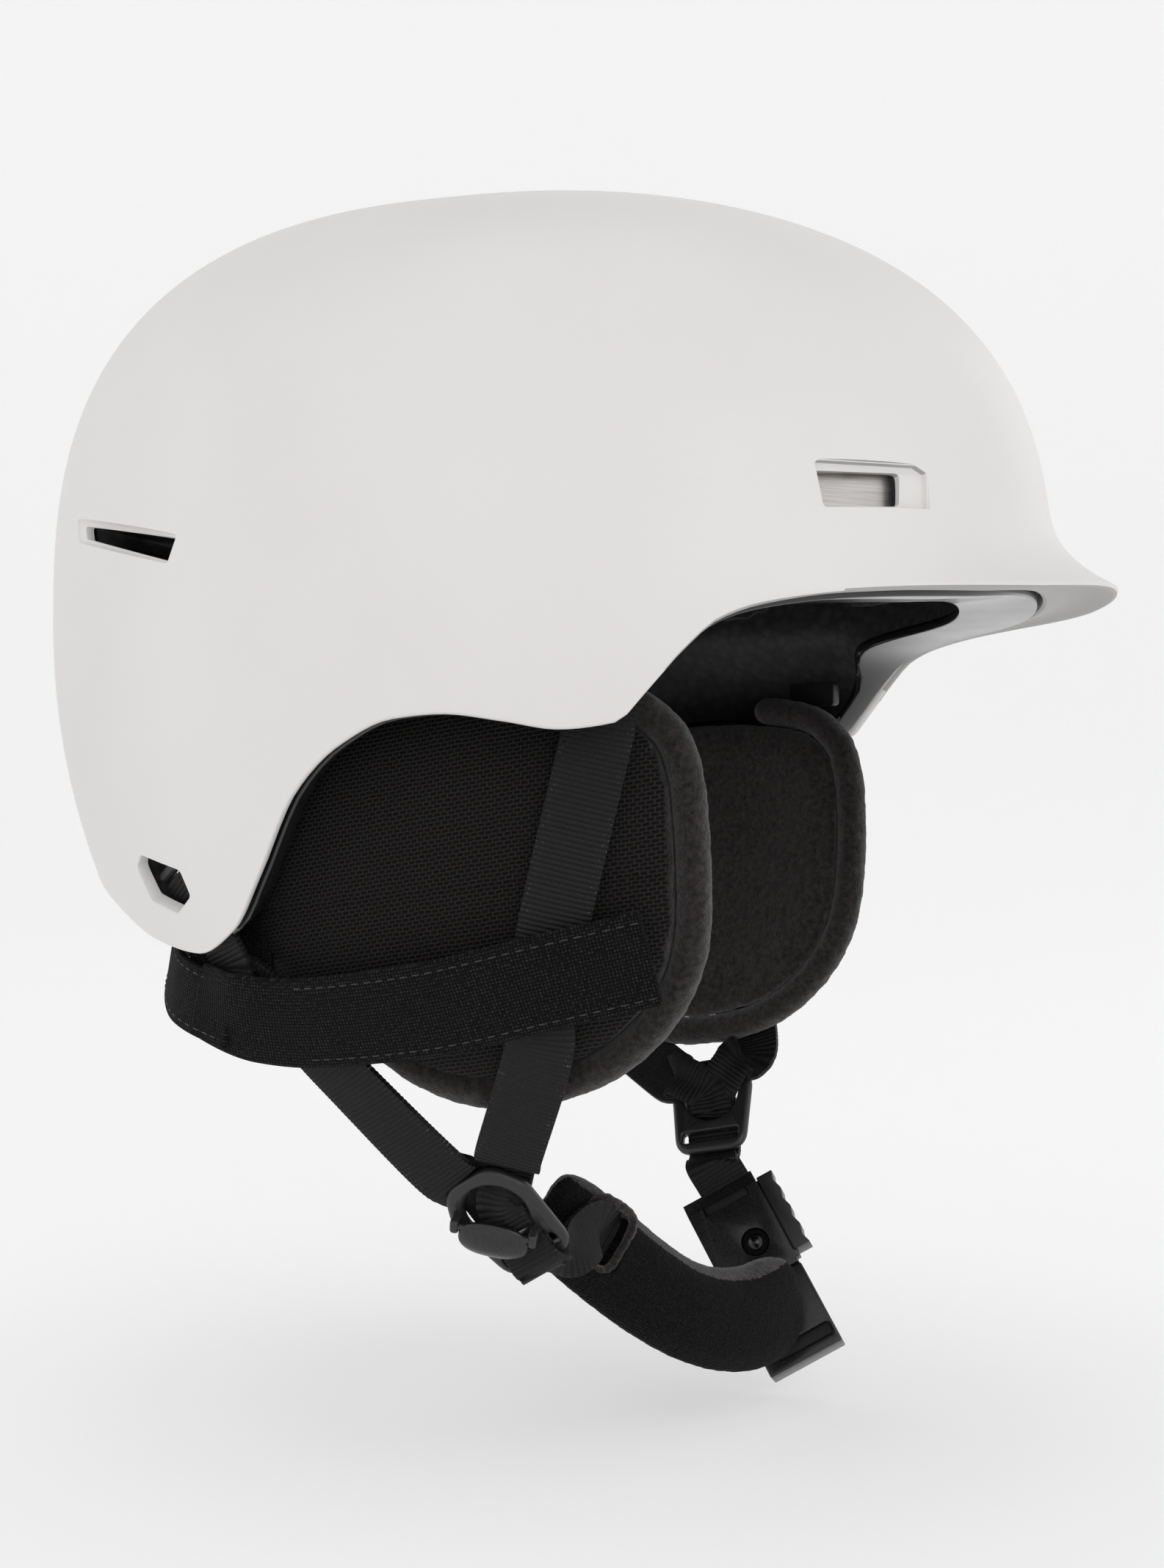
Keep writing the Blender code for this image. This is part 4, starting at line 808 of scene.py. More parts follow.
for name, bm, node, spacing in (("browPad", domePad(0, 50, 92 * mm, 8 * mm, True), "brow_pad", 25.0),
                                ("sidePadRight", domePad(-88, 26, 78 * mm, 48 * mm), "side_pad_right", 22.0),
                                ("napePad", domePad(180, 44, 34 * mm, 2 * mm), "nape_pad", 30.0),
                                ("crownPad", pillow(crownPad, 40, 14), "crown_pad", 0.0)):
    pad = softPad(bm, name, [fleeceDark], [node], "fleece", fitPads, sewnChannels(spacing) if spacing else None)
    if name == "sidePadRight":
        mirrored(pad, "sidePadLeft", ["side_pad_left"], "fleece", "root")
    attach(pad, "root")
print("fit pads made")


# ear flaps: a mesh panel outside, a fleece cushion inside and a fleece roll round the edge

ear = {
    "outline": [(32, 6), (10, 21), (-22, 26), (-50, 24), (-63, 17), (-69, 6), (-71, -12), (-70.5, -32), (-67, -46),
                (-59, -58.5), (-47, -68.5), (-32, -74.5), (-14, -76.5), (2, -71.5), (15, -61), (25, -46), (33, -24),
                (36, -6)],
    "panelRear": {0: (43, 4), 13: (6, -71), 14: (27, -60), 15: (49, -46), 16: (55, -29), 17: (49, -9)},
    "spread": 95.5 * mm, "panel": 5.0 * mm, "cushion": 10.0 * mm, "roll": 4.2 * mm, "gap": 0.4 * mm,
    "centre": (-16 * mm, -24 * mm), "rollFrom": 0.135, "rollTo": 0.80,
    "seam": [(48, -31.5), (18, -28.2), (-21, -23.6), (-43, -21.4), (-62, -20.5)],
}
panelLook = {"voxel": 1.7 * mm, "cap": 0.6 * mm, "fill": 0.8, "nap": 0.0}
cushionLook = {"voxel": 1.9 * mm, "cap": 1.2 * mm, "fill": 0.7, "nap": 0.16 * mm}


def earSurface(side, y, z, depth=0.0):
    # the flap's outer face; depth is measured inwards
    forward, back, down = min(0.0, y + 10 * mm), max(0.0, y), min(0.0, z)
    x = ear["spread"] - 4.5 * forward ** 2 - 3.2 * back ** 2 - 3.2 * down ** 2
    return Vector((side * (x - depth), y, z))


def earNormal(side, y, z):
    along = earSurface(side, y + mm, z) - earSurface(side, y - mm, z)
    up = earSurface(side, y, z + mm) - earSurface(side, y, z - mm)
    return side * along.cross(up).normalized()


def earOutline(t, shrink=0.0, wide=False):
    points = [(y * mm, z * mm) for y, z in ear["outline"]]
    if wide:
        # the panel reaches back behind the shell's edge
        points = [(p[0] * mm, p[1] * mm) for p in (ear["panelRear"].get(i, o) for i, o in enumerate(ear["outline"]))]
    here = throughLoop(points, t)
    along = (throughLoop(points, (t + 0.004) % 1) - throughLoop(points, (t - 0.004) % 1)).normalized()
    return here - Vector((along.y, -along.x)) * shrink


def earSlab(near, far, extra, wide=False):
    edges = {}

    def place(share, angle, face):
        key = round(angle, 4)
        if key not in edges:
            edges[key] = earOutline((angle / (2 * math.pi)) % 1.0, 2 * ear["roll"] + extra, wide)
        y, z = Vector(ear["centre"]) + (edges[key] - Vector(ear["centre"])) * share
        tuck = 0.35 * max(0.0, y - 30 * mm)
        return earSurface(-1, y, z, (near + far) / 2 - face * (far - near) / 2 + tuck)
    return pillow(place, 112, 18, 0.38)


seamPoints = [through([(y * mm, z * mm, 0) for y, z in ear["seam"]], i / 60) for i in range(61)]


def seamShape(co, normal):
    # the tuck that crosses the panel, and a faint puckering beside it
    off, i = min((math.hypot(co.y - p.x, co.z - p.y), i) for i, p in enumerate(seamPoints))
    pucker = 0.10 * mm * math.sin(i * 3.0) * math.exp(-(off / (3 * mm)) ** 2)
    return co + normal * (pucker - 0.75 * mm * math.exp(-(off / (0.9 * mm)) ** 2))


def tube(route, radius, rows, sides, reference=(1, 0, 0)):
    # round roll along a route, with ends that close like a sausage's
    steps = evenly(route, rows)
    rings = []
    for i, (t, s) in enumerate(steps):
        along = (through(route, min(1, t + 0.004)) - through(route, max(0, t - 0.004))).normalized()
        side = along.cross(Vector(reference)).normalized()
        near = min(1.0, min(s, steps[-1][1] - s) / radius)
        rings.append((through(route, t), side, along.cross(side), radius * math.sqrt(max(4e-4, 1 - (1 - near) ** 2))))
    bm = bmesh.new()
    bmesh.ops.create_grid(bm, x_segments=rows, y_segments=sides, size=0.5)
    for v in bm.verts:
        here, side, other, r = rings[v.index % (rows + 1)]
        turn = 2 * math.pi * (v.index // (rows + 1)) / sides
        v.co = here + (side * math.cos(turn) + other * math.sin(turn)) * r
    bmesh.ops.remove_doubles(bm, verts=bm.verts, dist=1e-6)
    bmesh.ops.holes_fill(bm, edges=[e for e in bm.edges if e.is_boundary], sides=0)
    return bm


panel = softPad(earSlab(0.3 * mm, ear["panel"], -1.5 * mm, True), "earPanelRight", [meshKnit], ["ear_panel_right"],
                "mesh_knit", panelLook, seamShape)
inner = ear["panel"] + ear["gap"]
cushion = softPad(earSlab(inner, inner + ear["cushion"] - 1.2 * mm, -1.3 * mm), "earCushionRight", [fleece],
                  ["ear_cushion_right"], "fleece", cushionLook)
rollRoute = []
for i in range(25):
    y, z = earOutline(ear["rollFrom"] + (ear["rollTo"] - ear["rollFrom"]) * i / 24, ear["roll"])
    rollRoute.append(earSurface(-1, y, z, (ear["panel"] + ear["cushion"]) / 2))
roll = addPiece(tube(rollRoute, ear["roll"] - 0.1 * mm, 420, 30), "earRollRight", [fleece], None,
                ["ear_binding_right"], "fleece", sharp=180)
roughen(roll, 0.22 * mm, 330.0, 0.16 * mm)
for piece, name, node, slotName, fill in ((panel, "earPanelLeft", "ear_panel_left", "mesh_knit", 0.8),
                                          (cushion, "earCushionLeft", "ear_cushion_left", "fleece", 0.7),
                                          (roll, "earRollLeft", "ear_binding_left", "fleece", 0.9)):
    mirrored(piece, name, [node], slotName, "left_flap")
    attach(piece, "right_flap")
print("ear flaps made")


# strips: webbing and canvas, each with its own UV map in metres, u along it and v across from the middle

def strip(name, points, facing, width, thickness, material, body=None, nodes=(), slotName=None, ribs=0.0,
          pitch=1.2 * mm, across=10, narrow=None, cup=0.0, edge=0.3 * mm, step=0.8 * mm, folds=0.14):
    length = evenly(points, 2)[-1][1]
    rows = max(6, int(length / (pitch / 6 if ribs else step)))
    steps = evenly(points, rows)
    frames = []
    for t, s in steps:
        along = (through(points, min(1, t + 0.004)) - through(points, max(0, t - 0.004))).normalized()
        side = along.cross(through([Vector(f) for f in facing], t)).normalized()
        frames.append((through(points, t), side, side.cross(along).normalized(), narrow(t) if narrow else 1.0, s))
    bm = bmesh.new()
    bmesh.ops.create_grid(bm, x_segments=rows, y_segments=across, size=0.5)
    for v in bm.verts:
        here, side, normal, share, s = frames[v.index % (rows + 1)]
        q = 2 * (v.index // (rows + 1)) / across - 1
        lift = ribs * (abs(math.sin(math.pi * s / pitch)) - 0.5)
        bunch = (1 - share) * width * folds * (math.cos(q * math.pi * 1.5) - 0.3)
        v.co = here + side * (q * share * width / 2) + normal * (lift + cup * (1 - q * q) + bunch)
    uv = bm.loops.layers.uv.new("UVMap")
    for face in bm.faces:
        for loop in face.loops:
            row, col = loop.vert.index % (rows + 1), loop.vert.index // (rows + 1)
            loop[uv].uv = (steps[row][1], (col / across - 0.5) * width)
    obj = addPiece(bm, name, [material], None, nodes, slotName, outward=False)
    solid = obj.modifiers.new("thickness", "SOLIDIFY")
    solid.thickness = thickness
    solid.offset = 0.0
    soft = obj.modifiers.new("edge", "BEVEL")
    soft.width = edge
    soft.segments = 2
    soft.limit_method = "ANGLE"
    soft.angle_limit = math.radians(60)
    applyModifiers(obj)
    obj.data.shade_smooth()
    obj.data.set_sharp_from_angle(angle=math.radians(60))
    if body:
        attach(obj, body)
    return obj


def stitches(name, points, facing, offsets, lift, body, pitch=3.2 * mm, length=2.2 * mm, thick=0.17 * mm,
             first=2 * mm):
    # one lock stitch after another along a strip, at each offset across it
    bm = bmesh.new()
    total = evenly(points, 2)[-1][1]
    count = int((total - 2 * first) / pitch)
    steps = evenly(points, 400)
    for offset in offsets:
        for i in range(count + 1):
            s = first + i * pitch
            t = steps[min(400, round(s / total * 400))][0]
            along = (through(points, min(1, t + 0.004)) - through(points, max(0, t - 0.004))).normalized()
            side = along.cross(through([Vector(f) for f in facing], t)).normalized()
            normal = side.cross(along).normalized()
            at = axesAt(through(points, t) + side * offset + normal * lift, along, normal)
            bmesh.ops.create_uvsphere(bm, u_segments=8, v_segments=5, radius=1.0,
                                      matrix=at @ Matrix.Diagonal((length / 2, thick, thick, 1.0)))
    return addPiece(bm, name, [thread], body, outward=False, sharp=180)


bands = {"path": [(-61, -38.8), (-36, -45), (-12, -51), (10, -54.5), (26, -56), (41, -55)],
         "stand": (0.0, 0.0, 0.3, 1.0, 2.0, 4.0), "lift": 5.1 * mm, "width": 22.5 * mm, "thick": 2.2 * mm,
         "reach": 82 * mm, "level": -32 * mm, "napeWidth": 17 * mm, "join": 1.8 * mm, "stitchIn": 2.2 * mm}
webbingThick = 1.4 * mm


def napeRoute():
    left = earSurface(1, 41 * mm, -55 * mm, -bands["lift"] - bands["stand"][-1] * mm)
    quarter = []
    for share in (0.0, 0.35, 0.7):
        turn = math.radians(90 * share)
        quarter.append(Vector((left.x * math.cos(turn) ** 0.8,
                               left.y + bands["join"] + (bands["reach"] - left.y) * math.sin(turn),
                               left.z + (bands["level"] - left.z) * math.sin(turn) ** 2)))
    middle = Vector((0, bands["reach"] + bands["join"], bands["level"]))
    return quarter + [middle] + [Vector((-p.x, p.y, p.z)) for p in reversed(quarter)]


nape = napeRoute()
outwards = [Vector((p.x, p.y - 20 * mm, 0)).normalized() for p in nape]
strip("napeBand", nape, outwards, bands["napeWidth"], bands["thick"] - 0.5 * mm, canvas, "root", ["nape_band"],
      "canvas", across=12, edge=0.5 * mm)
stitches("napeStitches", nape, outwards, [2 * mm - bands["napeWidth"] / 2, bands["napeWidth"] / 2 - 2 * mm],
         bands["thick"] / 2 - 0.2 * mm, "root")
for side, tag, label in ((1, "left", "Left"), (-1, "right", "Right")):
    path = [earSurface(side, y * mm, z * mm, -bands["lift"] - s * mm)
            for (y, z), s in zip(bands["path"], bands["stand"])]
    facing = [earNormal(side, y * mm, z * mm) for y, z in bands["path"]]
    lap = nape[1] if side > 0 else nape[-2]
    path.append(path[-1].lerp(lap, 0.55) + Vector((side * 1.6 * mm, 0, 0)))
    facing.append(Vector((side, 0.25, 0)).normalized())
    taper = lambda t: 1.0 - 0.20 * smoothstep(0.78, 1.0, t)
    band = strip("flapBand" + label, path, facing, bands["width"], bands["thick"], canvas, None, ["flap_band_" + tag],
                 "canvas", across=14, narrow=taper, cup=0.5 * mm, edge=0.6 * mm, folds=0.0)
    half = bands["width"] / 2 - bands["stitchIn"]
    seam = stitches("flapBandStitches" + label, path[:5], facing[:5], [-half, half], bands["thick"] / 2 + 0.16 * mm,
                    None)
    for piece in (band, seam):
        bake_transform(piece)
    tab = [earSurface(side, y * mm, z * mm, depth * mm)
           for y, z, depth in ((48, -31, 5), (47, -40, 1), (45, -50, -3))]
    strip("flapTab" + label, tab, [Vector((side, 0.15, 0))] * 3, 25 * mm, 1.2 * mm, canvas, tag + "_flap")
print("bands made")


# the harness: front and rear straps, their anchors and the dividers that join them

harness = {
    "lift": 1.8 * mm, "inset": linerInset + 1.8 * mm,
    "frontPath": [(-52, 21), (-50, 10), (-45, -12), (-40, -31), (-35, -50), (-33, -62)],
    "rearPath": [(31, -54), (17, -68)],
    "anchorPath": [(122.5, -24.0), (119.5, -34.0), (117.0, -46.0), (116.2, -50.5)],
    "frontEnd": {-1: [(-12, 14.5, 0.3), (-8.5, 10.3, -2.9), (-4.5, 5.5, -2.2), (-0.5, 1.6, 0.4), (5.5, 0.6, 1.5)],
                 1: [(-13.5, -11.5, 0.6), (-9.2, -8.2, -2.8), (-4.5, -4.2, -2.2), (-0.5, -1.2, 0.4), (5.5, -0.4, 1.5)]},
    "rearEnd": {-1: [(-16.0, -4.0, 0.2), (-11.0, -3.0, -3.0), (-7.0, -2.2, -2.6), (-2.5, -1.2, -0.9), (4.0, -0.5, 0.5)],
                1: [(-10.5, 14.5, 0.5), (-7.0, 9.6, -2.9), (-4.0, 5.0, -2.4), (-1.5, 1.2, -0.9), (4.0, 0.4, 0.5)]},
}
divider = {"ring": 12.0 * mm, "hole": 8.0 * mm, "thick": 3.0 * mm, "slotAt": 10.8 * mm, "slot": 3.2 * mm,
           "bar": 3.2 * mm, "half": 10.4 * mm, "lockLength": 16.5 * mm, "lockWidth": 9.0 * mm,
           "lockThick": 3.4 * mm, "lockTurn": 45.0}
dividerAxes = {-1: axesAt((-60 * mm, -13.5 * mm, -103 * mm), (0.45, -0.51, -0.73), (-0.87, -0.11, -0.48)),
               1: axesAt((60 * mm, -29 * mm, -90 * mm), (-0.42, -0.17, -0.89), (0.84, -0.107, -0.533))}


def insideShell(side, azimuth, height):
    a = math.radians(side * azimuth)
    return domePoint(a, polarAt(a, height * mm), harness["inset"])


def bunched(start, least):
    return lambda t: 1.0 - (1.0 - least) * smoothstep(start, min(1.0, start + 0.10), t)


for side, tag, label in ((1, "left", "Left"), (-1, "right", "Right")):
    at = dividerAxes[side]
    outward = Vector(at.col[2][:3])
    local = lambda points: [at @ (Vector(p) * mm) for p in points]
    path = [earSurface(side, y * mm, z * mm, -harness["lift"]) for y, z in harness["frontPath"]]
    facing = [earNormal(side, y * mm, z * mm) for y, z in harness["frontPath"]]
    ends = local(harness["frontEnd"][side])
    strip("frontStrap" + label, path + ends, facing + [outward] * len(ends), webbingWidth, webbingThick, webbing,
          tag + "_flap", ["front_strap_" + tag], "webbing", ribs=0.26 * mm, narrow=bunched(0.64, 0.78), cup=0.35 * mm)
    path = [insideShell(side, *p) for p in harness["anchorPath"]]
    facing = [Vector((side * 0.85, 0.5, -0.15))] * 3 + [Vector((side, 0.35, -0.2))]
    path += [earSurface(side, y * mm, z * mm, -harness["lift"] - (0.5 + i) * mm)
             for i, (y, z) in enumerate(harness["rearPath"])]
    facing += [earNormal(side, y * mm, z * mm) for y, z in harness["rearPath"]]
    ends = local(harness["rearEnd"][side])
    rear = strip("rearStrap" + label, path + ends, facing + [outward] * len(ends), webbingWidth, webbingThick, webbing,
                 None, ["rear_strap_" + tag, "rear_strap_anchor_" + tag], "webbing", ribs=0.26 * mm,
                 narrow=bunched(0.64, 0.78), cup=0.3 * mm)
    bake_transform(rear)
print("straps made")


def loft(at, corners, levels, steps=6):
    # closed solid from a rounded outline; levels are (height, growth of the outline)
    return loftCutter([[at @ Vector((p.x, p.y, z)) for p in roundedOutline(corners, grow, steps)]
                       for z, grow in levels])


def discLoft(at, radius, levels, x=0.0, y=0.0, sides=48):
    circle = [(math.cos(2 * math.pi * i / sides), math.sin(2 * math.pi * i / sides)) for i in range(sides)]
    return loftCutter([[at @ Vector((x + (radius + grow) * c, y + (radius + grow) * s, z)) for c, s in circle]
                       for z, grow in levels])


def boxCorners(halfX, halfY, radius, x=0.0, y=0.0):
    return [(x + sx * halfX, y + sy * halfY, radius) for sx, sy in ((-1, -1), (1, -1), (1, 1), (-1, 1))]


def soften(obj, angle=40):
    obj.data.shade_smooth()
    obj.data.set_sharp_from_angle(angle=math.radians(angle))
    return obj


def rolledOpening(thick, flare):
    # opening with rolled edges, from below one face to above the other
    h = thick / 2
    return ((-h - 0.3 * mm, flare * 1.35), (-h, flare), (-h + flare * 0.3, flare * 0.45), (-h + flare, 0.0),
            (h - flare, 0.0), (h - flare * 0.3, flare * 0.45), (h, flare), (h + 0.3 * mm, flare * 1.35))


def buildDivider(side, tag, label):
    d, at = divider, dividerAxes[side]
    far = d["slotAt"] + d["slot"] + d["bar"]
    r = d["ring"]
    corners = [(-r, -r * 0.62, 7.5 * mm), (-r * 0.30, -r * 1.03, 7.0 * mm), (far, -d["half"], 5.5 * mm),
               (far, d["half"], 5.5 * mm), (-r * 0.30, r * 1.03, 7.0 * mm), (-r, r * 0.62, 7.5 * mm)]
    h = d["thick"] / 2
    edge = ((-h, -1.5 * mm), (-h + 0.12 * mm, -0.9 * mm), (-h + 0.45 * mm, -0.4 * mm), (-h + 1.0 * mm, -0.08 * mm))
    ring = loft(at, corners, edge + tuple((-z, grow) for z, grow in reversed(edge)))
    hole = discLoft(at, d["hole"], rolledOpening(d["thick"], 1.0 * mm), -0.6 * mm)
    slot = loft(at, boxCorners(d["slot"] / 2, webbingWidth / 2 + 0.5 * mm, 1.0 * mm, d["slotAt"] + d["slot"] / 2),
                rolledOpening(d["thick"], 0.5 * mm))
    ring.name = ring.data.name = "dividerRing" + label
    ring.data.materials.append(grainPlastic)
    carve(ring, [hole, slot])
    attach(soften(ring), tag + "_flap")
    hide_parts("strap_divider_" + tag)
    turned = at @ Matrix.Rotation(math.radians(side * d["lockTurn"]), 4, "Z")
    pivotX = d["slotAt"] - d["lockWidth"] + 1.2 * mm
    pivotZ = h + 1.0 * mm + d["lockThick"] / 2
    for sy in (-1, 1):
        y = sy * (d["lockLength"] / 2 + 1.4 * mm)
        lug = loft(turned, boxCorners(1.9 * mm, 1.1 * mm, 0.9 * mm, pivotX, y),
                   ((0.0, 0.4 * mm), (h + 0.4 * mm, 0.0), (pivotZ + 0.5 * mm, 0.0), (pivotZ + 1.0 * mm, -0.3 * mm),
                    (pivotZ + 1.15 * mm, -0.7 * mm)))
        lug.name = lug.data.name = "dividerLug" + label + ("Front" if sy * side > 0 else "Rear")
        lug.data.materials.append(grainPlastic)
        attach(soften(lug), tag + "_flap")

    def cap(share, angle, face):
        p, q = share * math.cos(angle), share * math.sin(angle)
        k = 1 / (abs(math.cos(angle)) ** 2.5 + abs(math.sin(angle)) ** 2.5) ** (1 / 2.5)
        rise = 0.55 if face > 0 else 0.25
        crown = 0.35 if face > 0 else 0.0
        z = pivotZ + face * d["lockThick"] / 2 * (1.0 - rise * share ** 2.4 + crown * (1 - share ** 2))
        x = pivotX + d["lockWidth"] / 2 - 2.0 * mm + p * k * (d["lockWidth"] / 2 + 0.4 * mm)
        return turned @ Vector((x, q * k * (d["lockLength"] / 2 + 0.4 * mm), z))

    addPiece(pillow(cap, 64, 24, 0.6), "lockCap" + label, [smoothPlastic], tag + "_lock", ["divider_lock_" + tag],
             "black_plastic", sharp=180)


for side, tag, label in ((1, "left", "Left"), (-1, "right", "Right")):
    buildDivider(side, tag, label)
print("dividers made")


# hardware whose form is that of its solid, with softened edges

def softened(name, node, material, body, offset, segments=3, angle=28, slotName="black_plastic"):
    bm = bmesh.new()
    bm.from_mesh(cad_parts[node].data)
    bmesh.ops.remove_doubles(bm, verts=bm.verts, dist=0.005 * mm)
    bmesh.ops.dissolve_limit(bm, angle_limit=math.radians(0.8), verts=bm.verts, edges=bm.edges)
    bmesh.ops.recalc_face_normals(bm, faces=bm.faces)
    edges = [e for e in bm.edges if len(e.link_faces) == 2 and e.calc_face_angle(0.0) > math.radians(angle)]
    bmesh.ops.bevel(bm, geom=edges, offset=offset, affect="EDGES", segments=segments, profile=0.5, material=-1,
                    clamp_overlap=True)
    return addPiece(bm, name, [material], body, [node], slotName, sharp=32)


def dress(node, material):
    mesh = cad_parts[node].data
    mesh.materials.clear()
    mesh.materials.append(material)


for tag, label in (("left", "Left"), ("right", "Right")):
    softened("frontAnchor" + label, "front_anchor_" + tag, grainPlastic, tag + "_flap", 0.4 * mm)
    dress("anchor_bar_" + tag, grainPlastic)
    dress("lock_pin_" + tag, grainPlastic)
for node, material in (("buckle_magnet", blackGloss), ("keeper_disc", brushed), ("retainer_pin", brushed)):
    dress(node, material)
softened("retainerBase", "retainer_base", grainPlastic, "root", 0.6 * mm)
softened("retainerLever", "retainer_lever", grainPlastic, "lever", 0.45 * mm)


# chin: the pad, its webbing and the magnetic buckle

chin = {"thick": 9.0 * mm, "holeAt": 0.17,
        "sag": [(0.0, 0.0, 0.0), (0.25, -3.0, -6.0), (0.5, -5.0, -11.0), (0.75, -3.5, -9.0), (1.0, 0.0, 0.0)],
        "up": [13.0, 12.0, 10.5, 10.5, 12.5, 15.0, 16.5], "down": [13.0, 15.0, 16.5, 16.5, 16.0, 15.0, 12.5]}
chinLook = {"voxel": 1.3 * mm, "cap": 0.8 * mm, "fill": 0.75, "nap": 0.10 * mm}
buckle = {"top": -23.0 * mm, "body": 31.0 * mm, "tongue": 14.0 * mm, "thick": 10.0 * mm}
buckleAxes = axesAt((46.5 * mm, -48.5 * mm, -132 * mm), (-0.27, -0.56, -0.78), (0.91, 0.12, -0.40))
chinStart = dividerAxes[-1] @ Vector((10.5 * mm, 0, -divider["thick"] / 2 - chin["thick"] / 2 - 9.0 * mm))
chinEnd = buckleAxes @ Vector((buckle["top"] + buckle["body"] + buckle["tongue"] - 4.0 * mm, -2.0 * mm,
                               -buckle["thick"] / 2 - chin["thick"] / 2 - 1.2 * mm))
chinRoute = [chinStart.lerp(chinEnd, f) + Vector((0, y * mm, z * mm)) for f, y, z in chin["sag"]]
chinFacing = [Vector((-0.70, -0.60, -0.10)), Vector((-0.45, -0.88, 0.0)), Vector((-0.36, -0.93, 0.05)),
              Vector((-0.30, -0.93, 0.05))]


def chinFrame(t):
    here = through(chinRoute, t)
    along = (through(chinRoute, min(1, t + 0.01)) - through(chinRoute, max(0, t - 0.01))).normalized()
    out = through(chinFacing, t)
    out = (out - along * out.dot(along)).normalized()
    return here, along, out, along.cross(out).normalized()


def chinPlace(share, angle, side):
    p, q = roundedSquare(share, angle, 4)
    t = (p + 1) / 2
    here, along, out, across = chinFrame(t)
    half = through([Vector((v * mm, 0, 0)) for v in (chin["up"] if q * chin["upSign"] > 0 else chin["down"])], t).x
    lean = 2.6 * mm * max(0.0, q * chin["upSign"]) ** 2
    here = here - along * (7.0 * mm * max(0.0, -q * chin["upSign"]) * (1 - t) ** 3)
    return here + across * (q * half) + out * (side * chin["thick"] / 2 * (1 - 0.3 * abs(q) ** 3) - lean)


chin["upSign"] = 1 if chinFrame(0.5)[3].z > 0 else -1
chinPad = softPad(pillow(chinPlace, 96, 20, 0.5), "chinPad", [], ["chin_pad"], "fleece", chinLook)
holeAt = chin["holeAt"]
here, along, out, across = chinFrame(holeAt)
holeAxes = axesAt(here + across * (chin["upSign"] * 1.5 * mm), along, out)
# a pocket in the outer cover, flared towards its mouth
hole = loft(holeAxes, boxCorners(6.6 * mm, 7.6 * mm, 4.5 * mm),
            ((-1.8 * mm, -0.8 * mm), (-1.2 * mm, 0.0), (2.0 * mm, 0.0), (4.5 * mm, 1.2 * mm), (12 * mm, 3.0 * mm)))
carve(chinPad, [hole])
chinPad.data.materials.clear()
chinPad.data.materials.append(fleece)
chinPad.data.materials.append(chinKnit)
frames = [chinFrame(i / 80) for i in range(81)]
tops = [Vector((v * mm, 0, 0)) for v in chin["up"]]
uv = chinPad.data.uv_layers.new(name="weave")
spots = []
for v in chinPad.data.vertices:
    i = min(range(81), key=lambda k: (frames[k][0] - v.co).length_squared)
    here, along, out, across = frames[i]
    off = v.co - here
    spots.append((i / 80 * 100 * mm + off.dot(along), off.dot(across), off.dot(out)))
for face in chinPad.data.polygons:
    middle = [sum(spots[i][k] for i in face.vertices) / len(face.vertices) for k in range(3)]
    reach = through(tops, min(1, max(0, middle[0] / (100 * mm)))).x
    top = chin["upSign"] * middle[1] > reach - 3.8 * mm
    face.material_index = 0 if top or middle[2] < -0.2 * mm else 1
    for corner in face.loop_indices:
        uv.data[corner].uv = spots[chinPad.data.loops[corner].vertex_index][:2]
rimOutline = roundedOutline(boxCorners(7.2 * mm, 8.2 * mm, 5.0 * mm), 0, 4)
rimRoute = [holeAxes @ Vector((p.x, p.y, 3.6 * mm)) for p in rimOutline]
rimTube = tube(rimRoute + rimRoute[:2], 1.15 * mm, 160, 12, out)
holeRim = addPiece(rimTube, "chinPadHoleRim", [fleece], "chin_strap", sharp=180)
roughen(holeRim, 0.25 * mm, 500.0, 0.2 * mm)
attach(chinPad, "chin_strap")

at = dividerAxes[-1]
loop = [(8.5, 1.2), (12.4, 2.2), (15.6, 3.2), (18.3, 2.0), (19.2, -0.2)]
points = [at @ Vector((x * mm, 0, z * mm)) for x, z in loop]
entry = [holeAxes @ Vector((x * mm, 0, z * mm)) for x, z in ((-4.0, 5.6), (0.5, 1.6), (4.0, -0.4))]
outward = Vector(holeAxes.col[2][:3])
points += [points[-1].lerp(entry[0], 0.5) + outward * 1.5 * mm] + entry
facing = [at.to_3x3() @ Vector(n) for n in ((0.2, 0, 1), (0.1, 0, 1), (0.3, 0, 1), (0.8, 0, 0.6), (1, 0, 0.1))]
strip("chinWebbing", points, facing + [outward] * 4, webbingWidth - 2 * mm, webbingThick, webbing, "chin_strap",
      ["chin_webbing"], "webbing", ribs=0.26 * mm)
left = dividerAxes[1]
low = buckleAxes @ Vector((buckle["top"] + 3.0 * mm, 0, -1.0 * mm))
loop = [(8.5, 1.2), (12.4, 2.2), (15.6, 3.2), (18.3, 2.2), (20.2, 0.3)]
points = [left @ Vector((x * mm, 0, z * mm)) for x, z in loop]
strip("leftWebbing", points + [points[-1].lerp(low, 0.5), low],
      [left.to_3x3() @ Vector(n) for n in ((0.2, 0, 1), (0.1, 0, 1), (0.3, 0, 1), (0.7, 0, 0.7), (0.3, 0, 1))]
      + [Vector(left.col[2][:3]).lerp(Vector(buckleAxes.col[2][:3]), 0.6), Vector(buckleAxes.col[2][:3])],
      webbingWidth - mm, webbingThick, webbing, "left_flap", ["left_chin_webbing"], "webbing", ribs=0.26 * mm)

softened("buckleBody", "buckle_body", smoothPlastic, "left_flap", 0.8 * mm)
softened("buckleTab", "buckle_tab", smoothPlastic, "chin_strap", 0.6 * mm)
softened("buckleSlider", "release_slider", grainPlastic, "slider", 0.4 * mm)


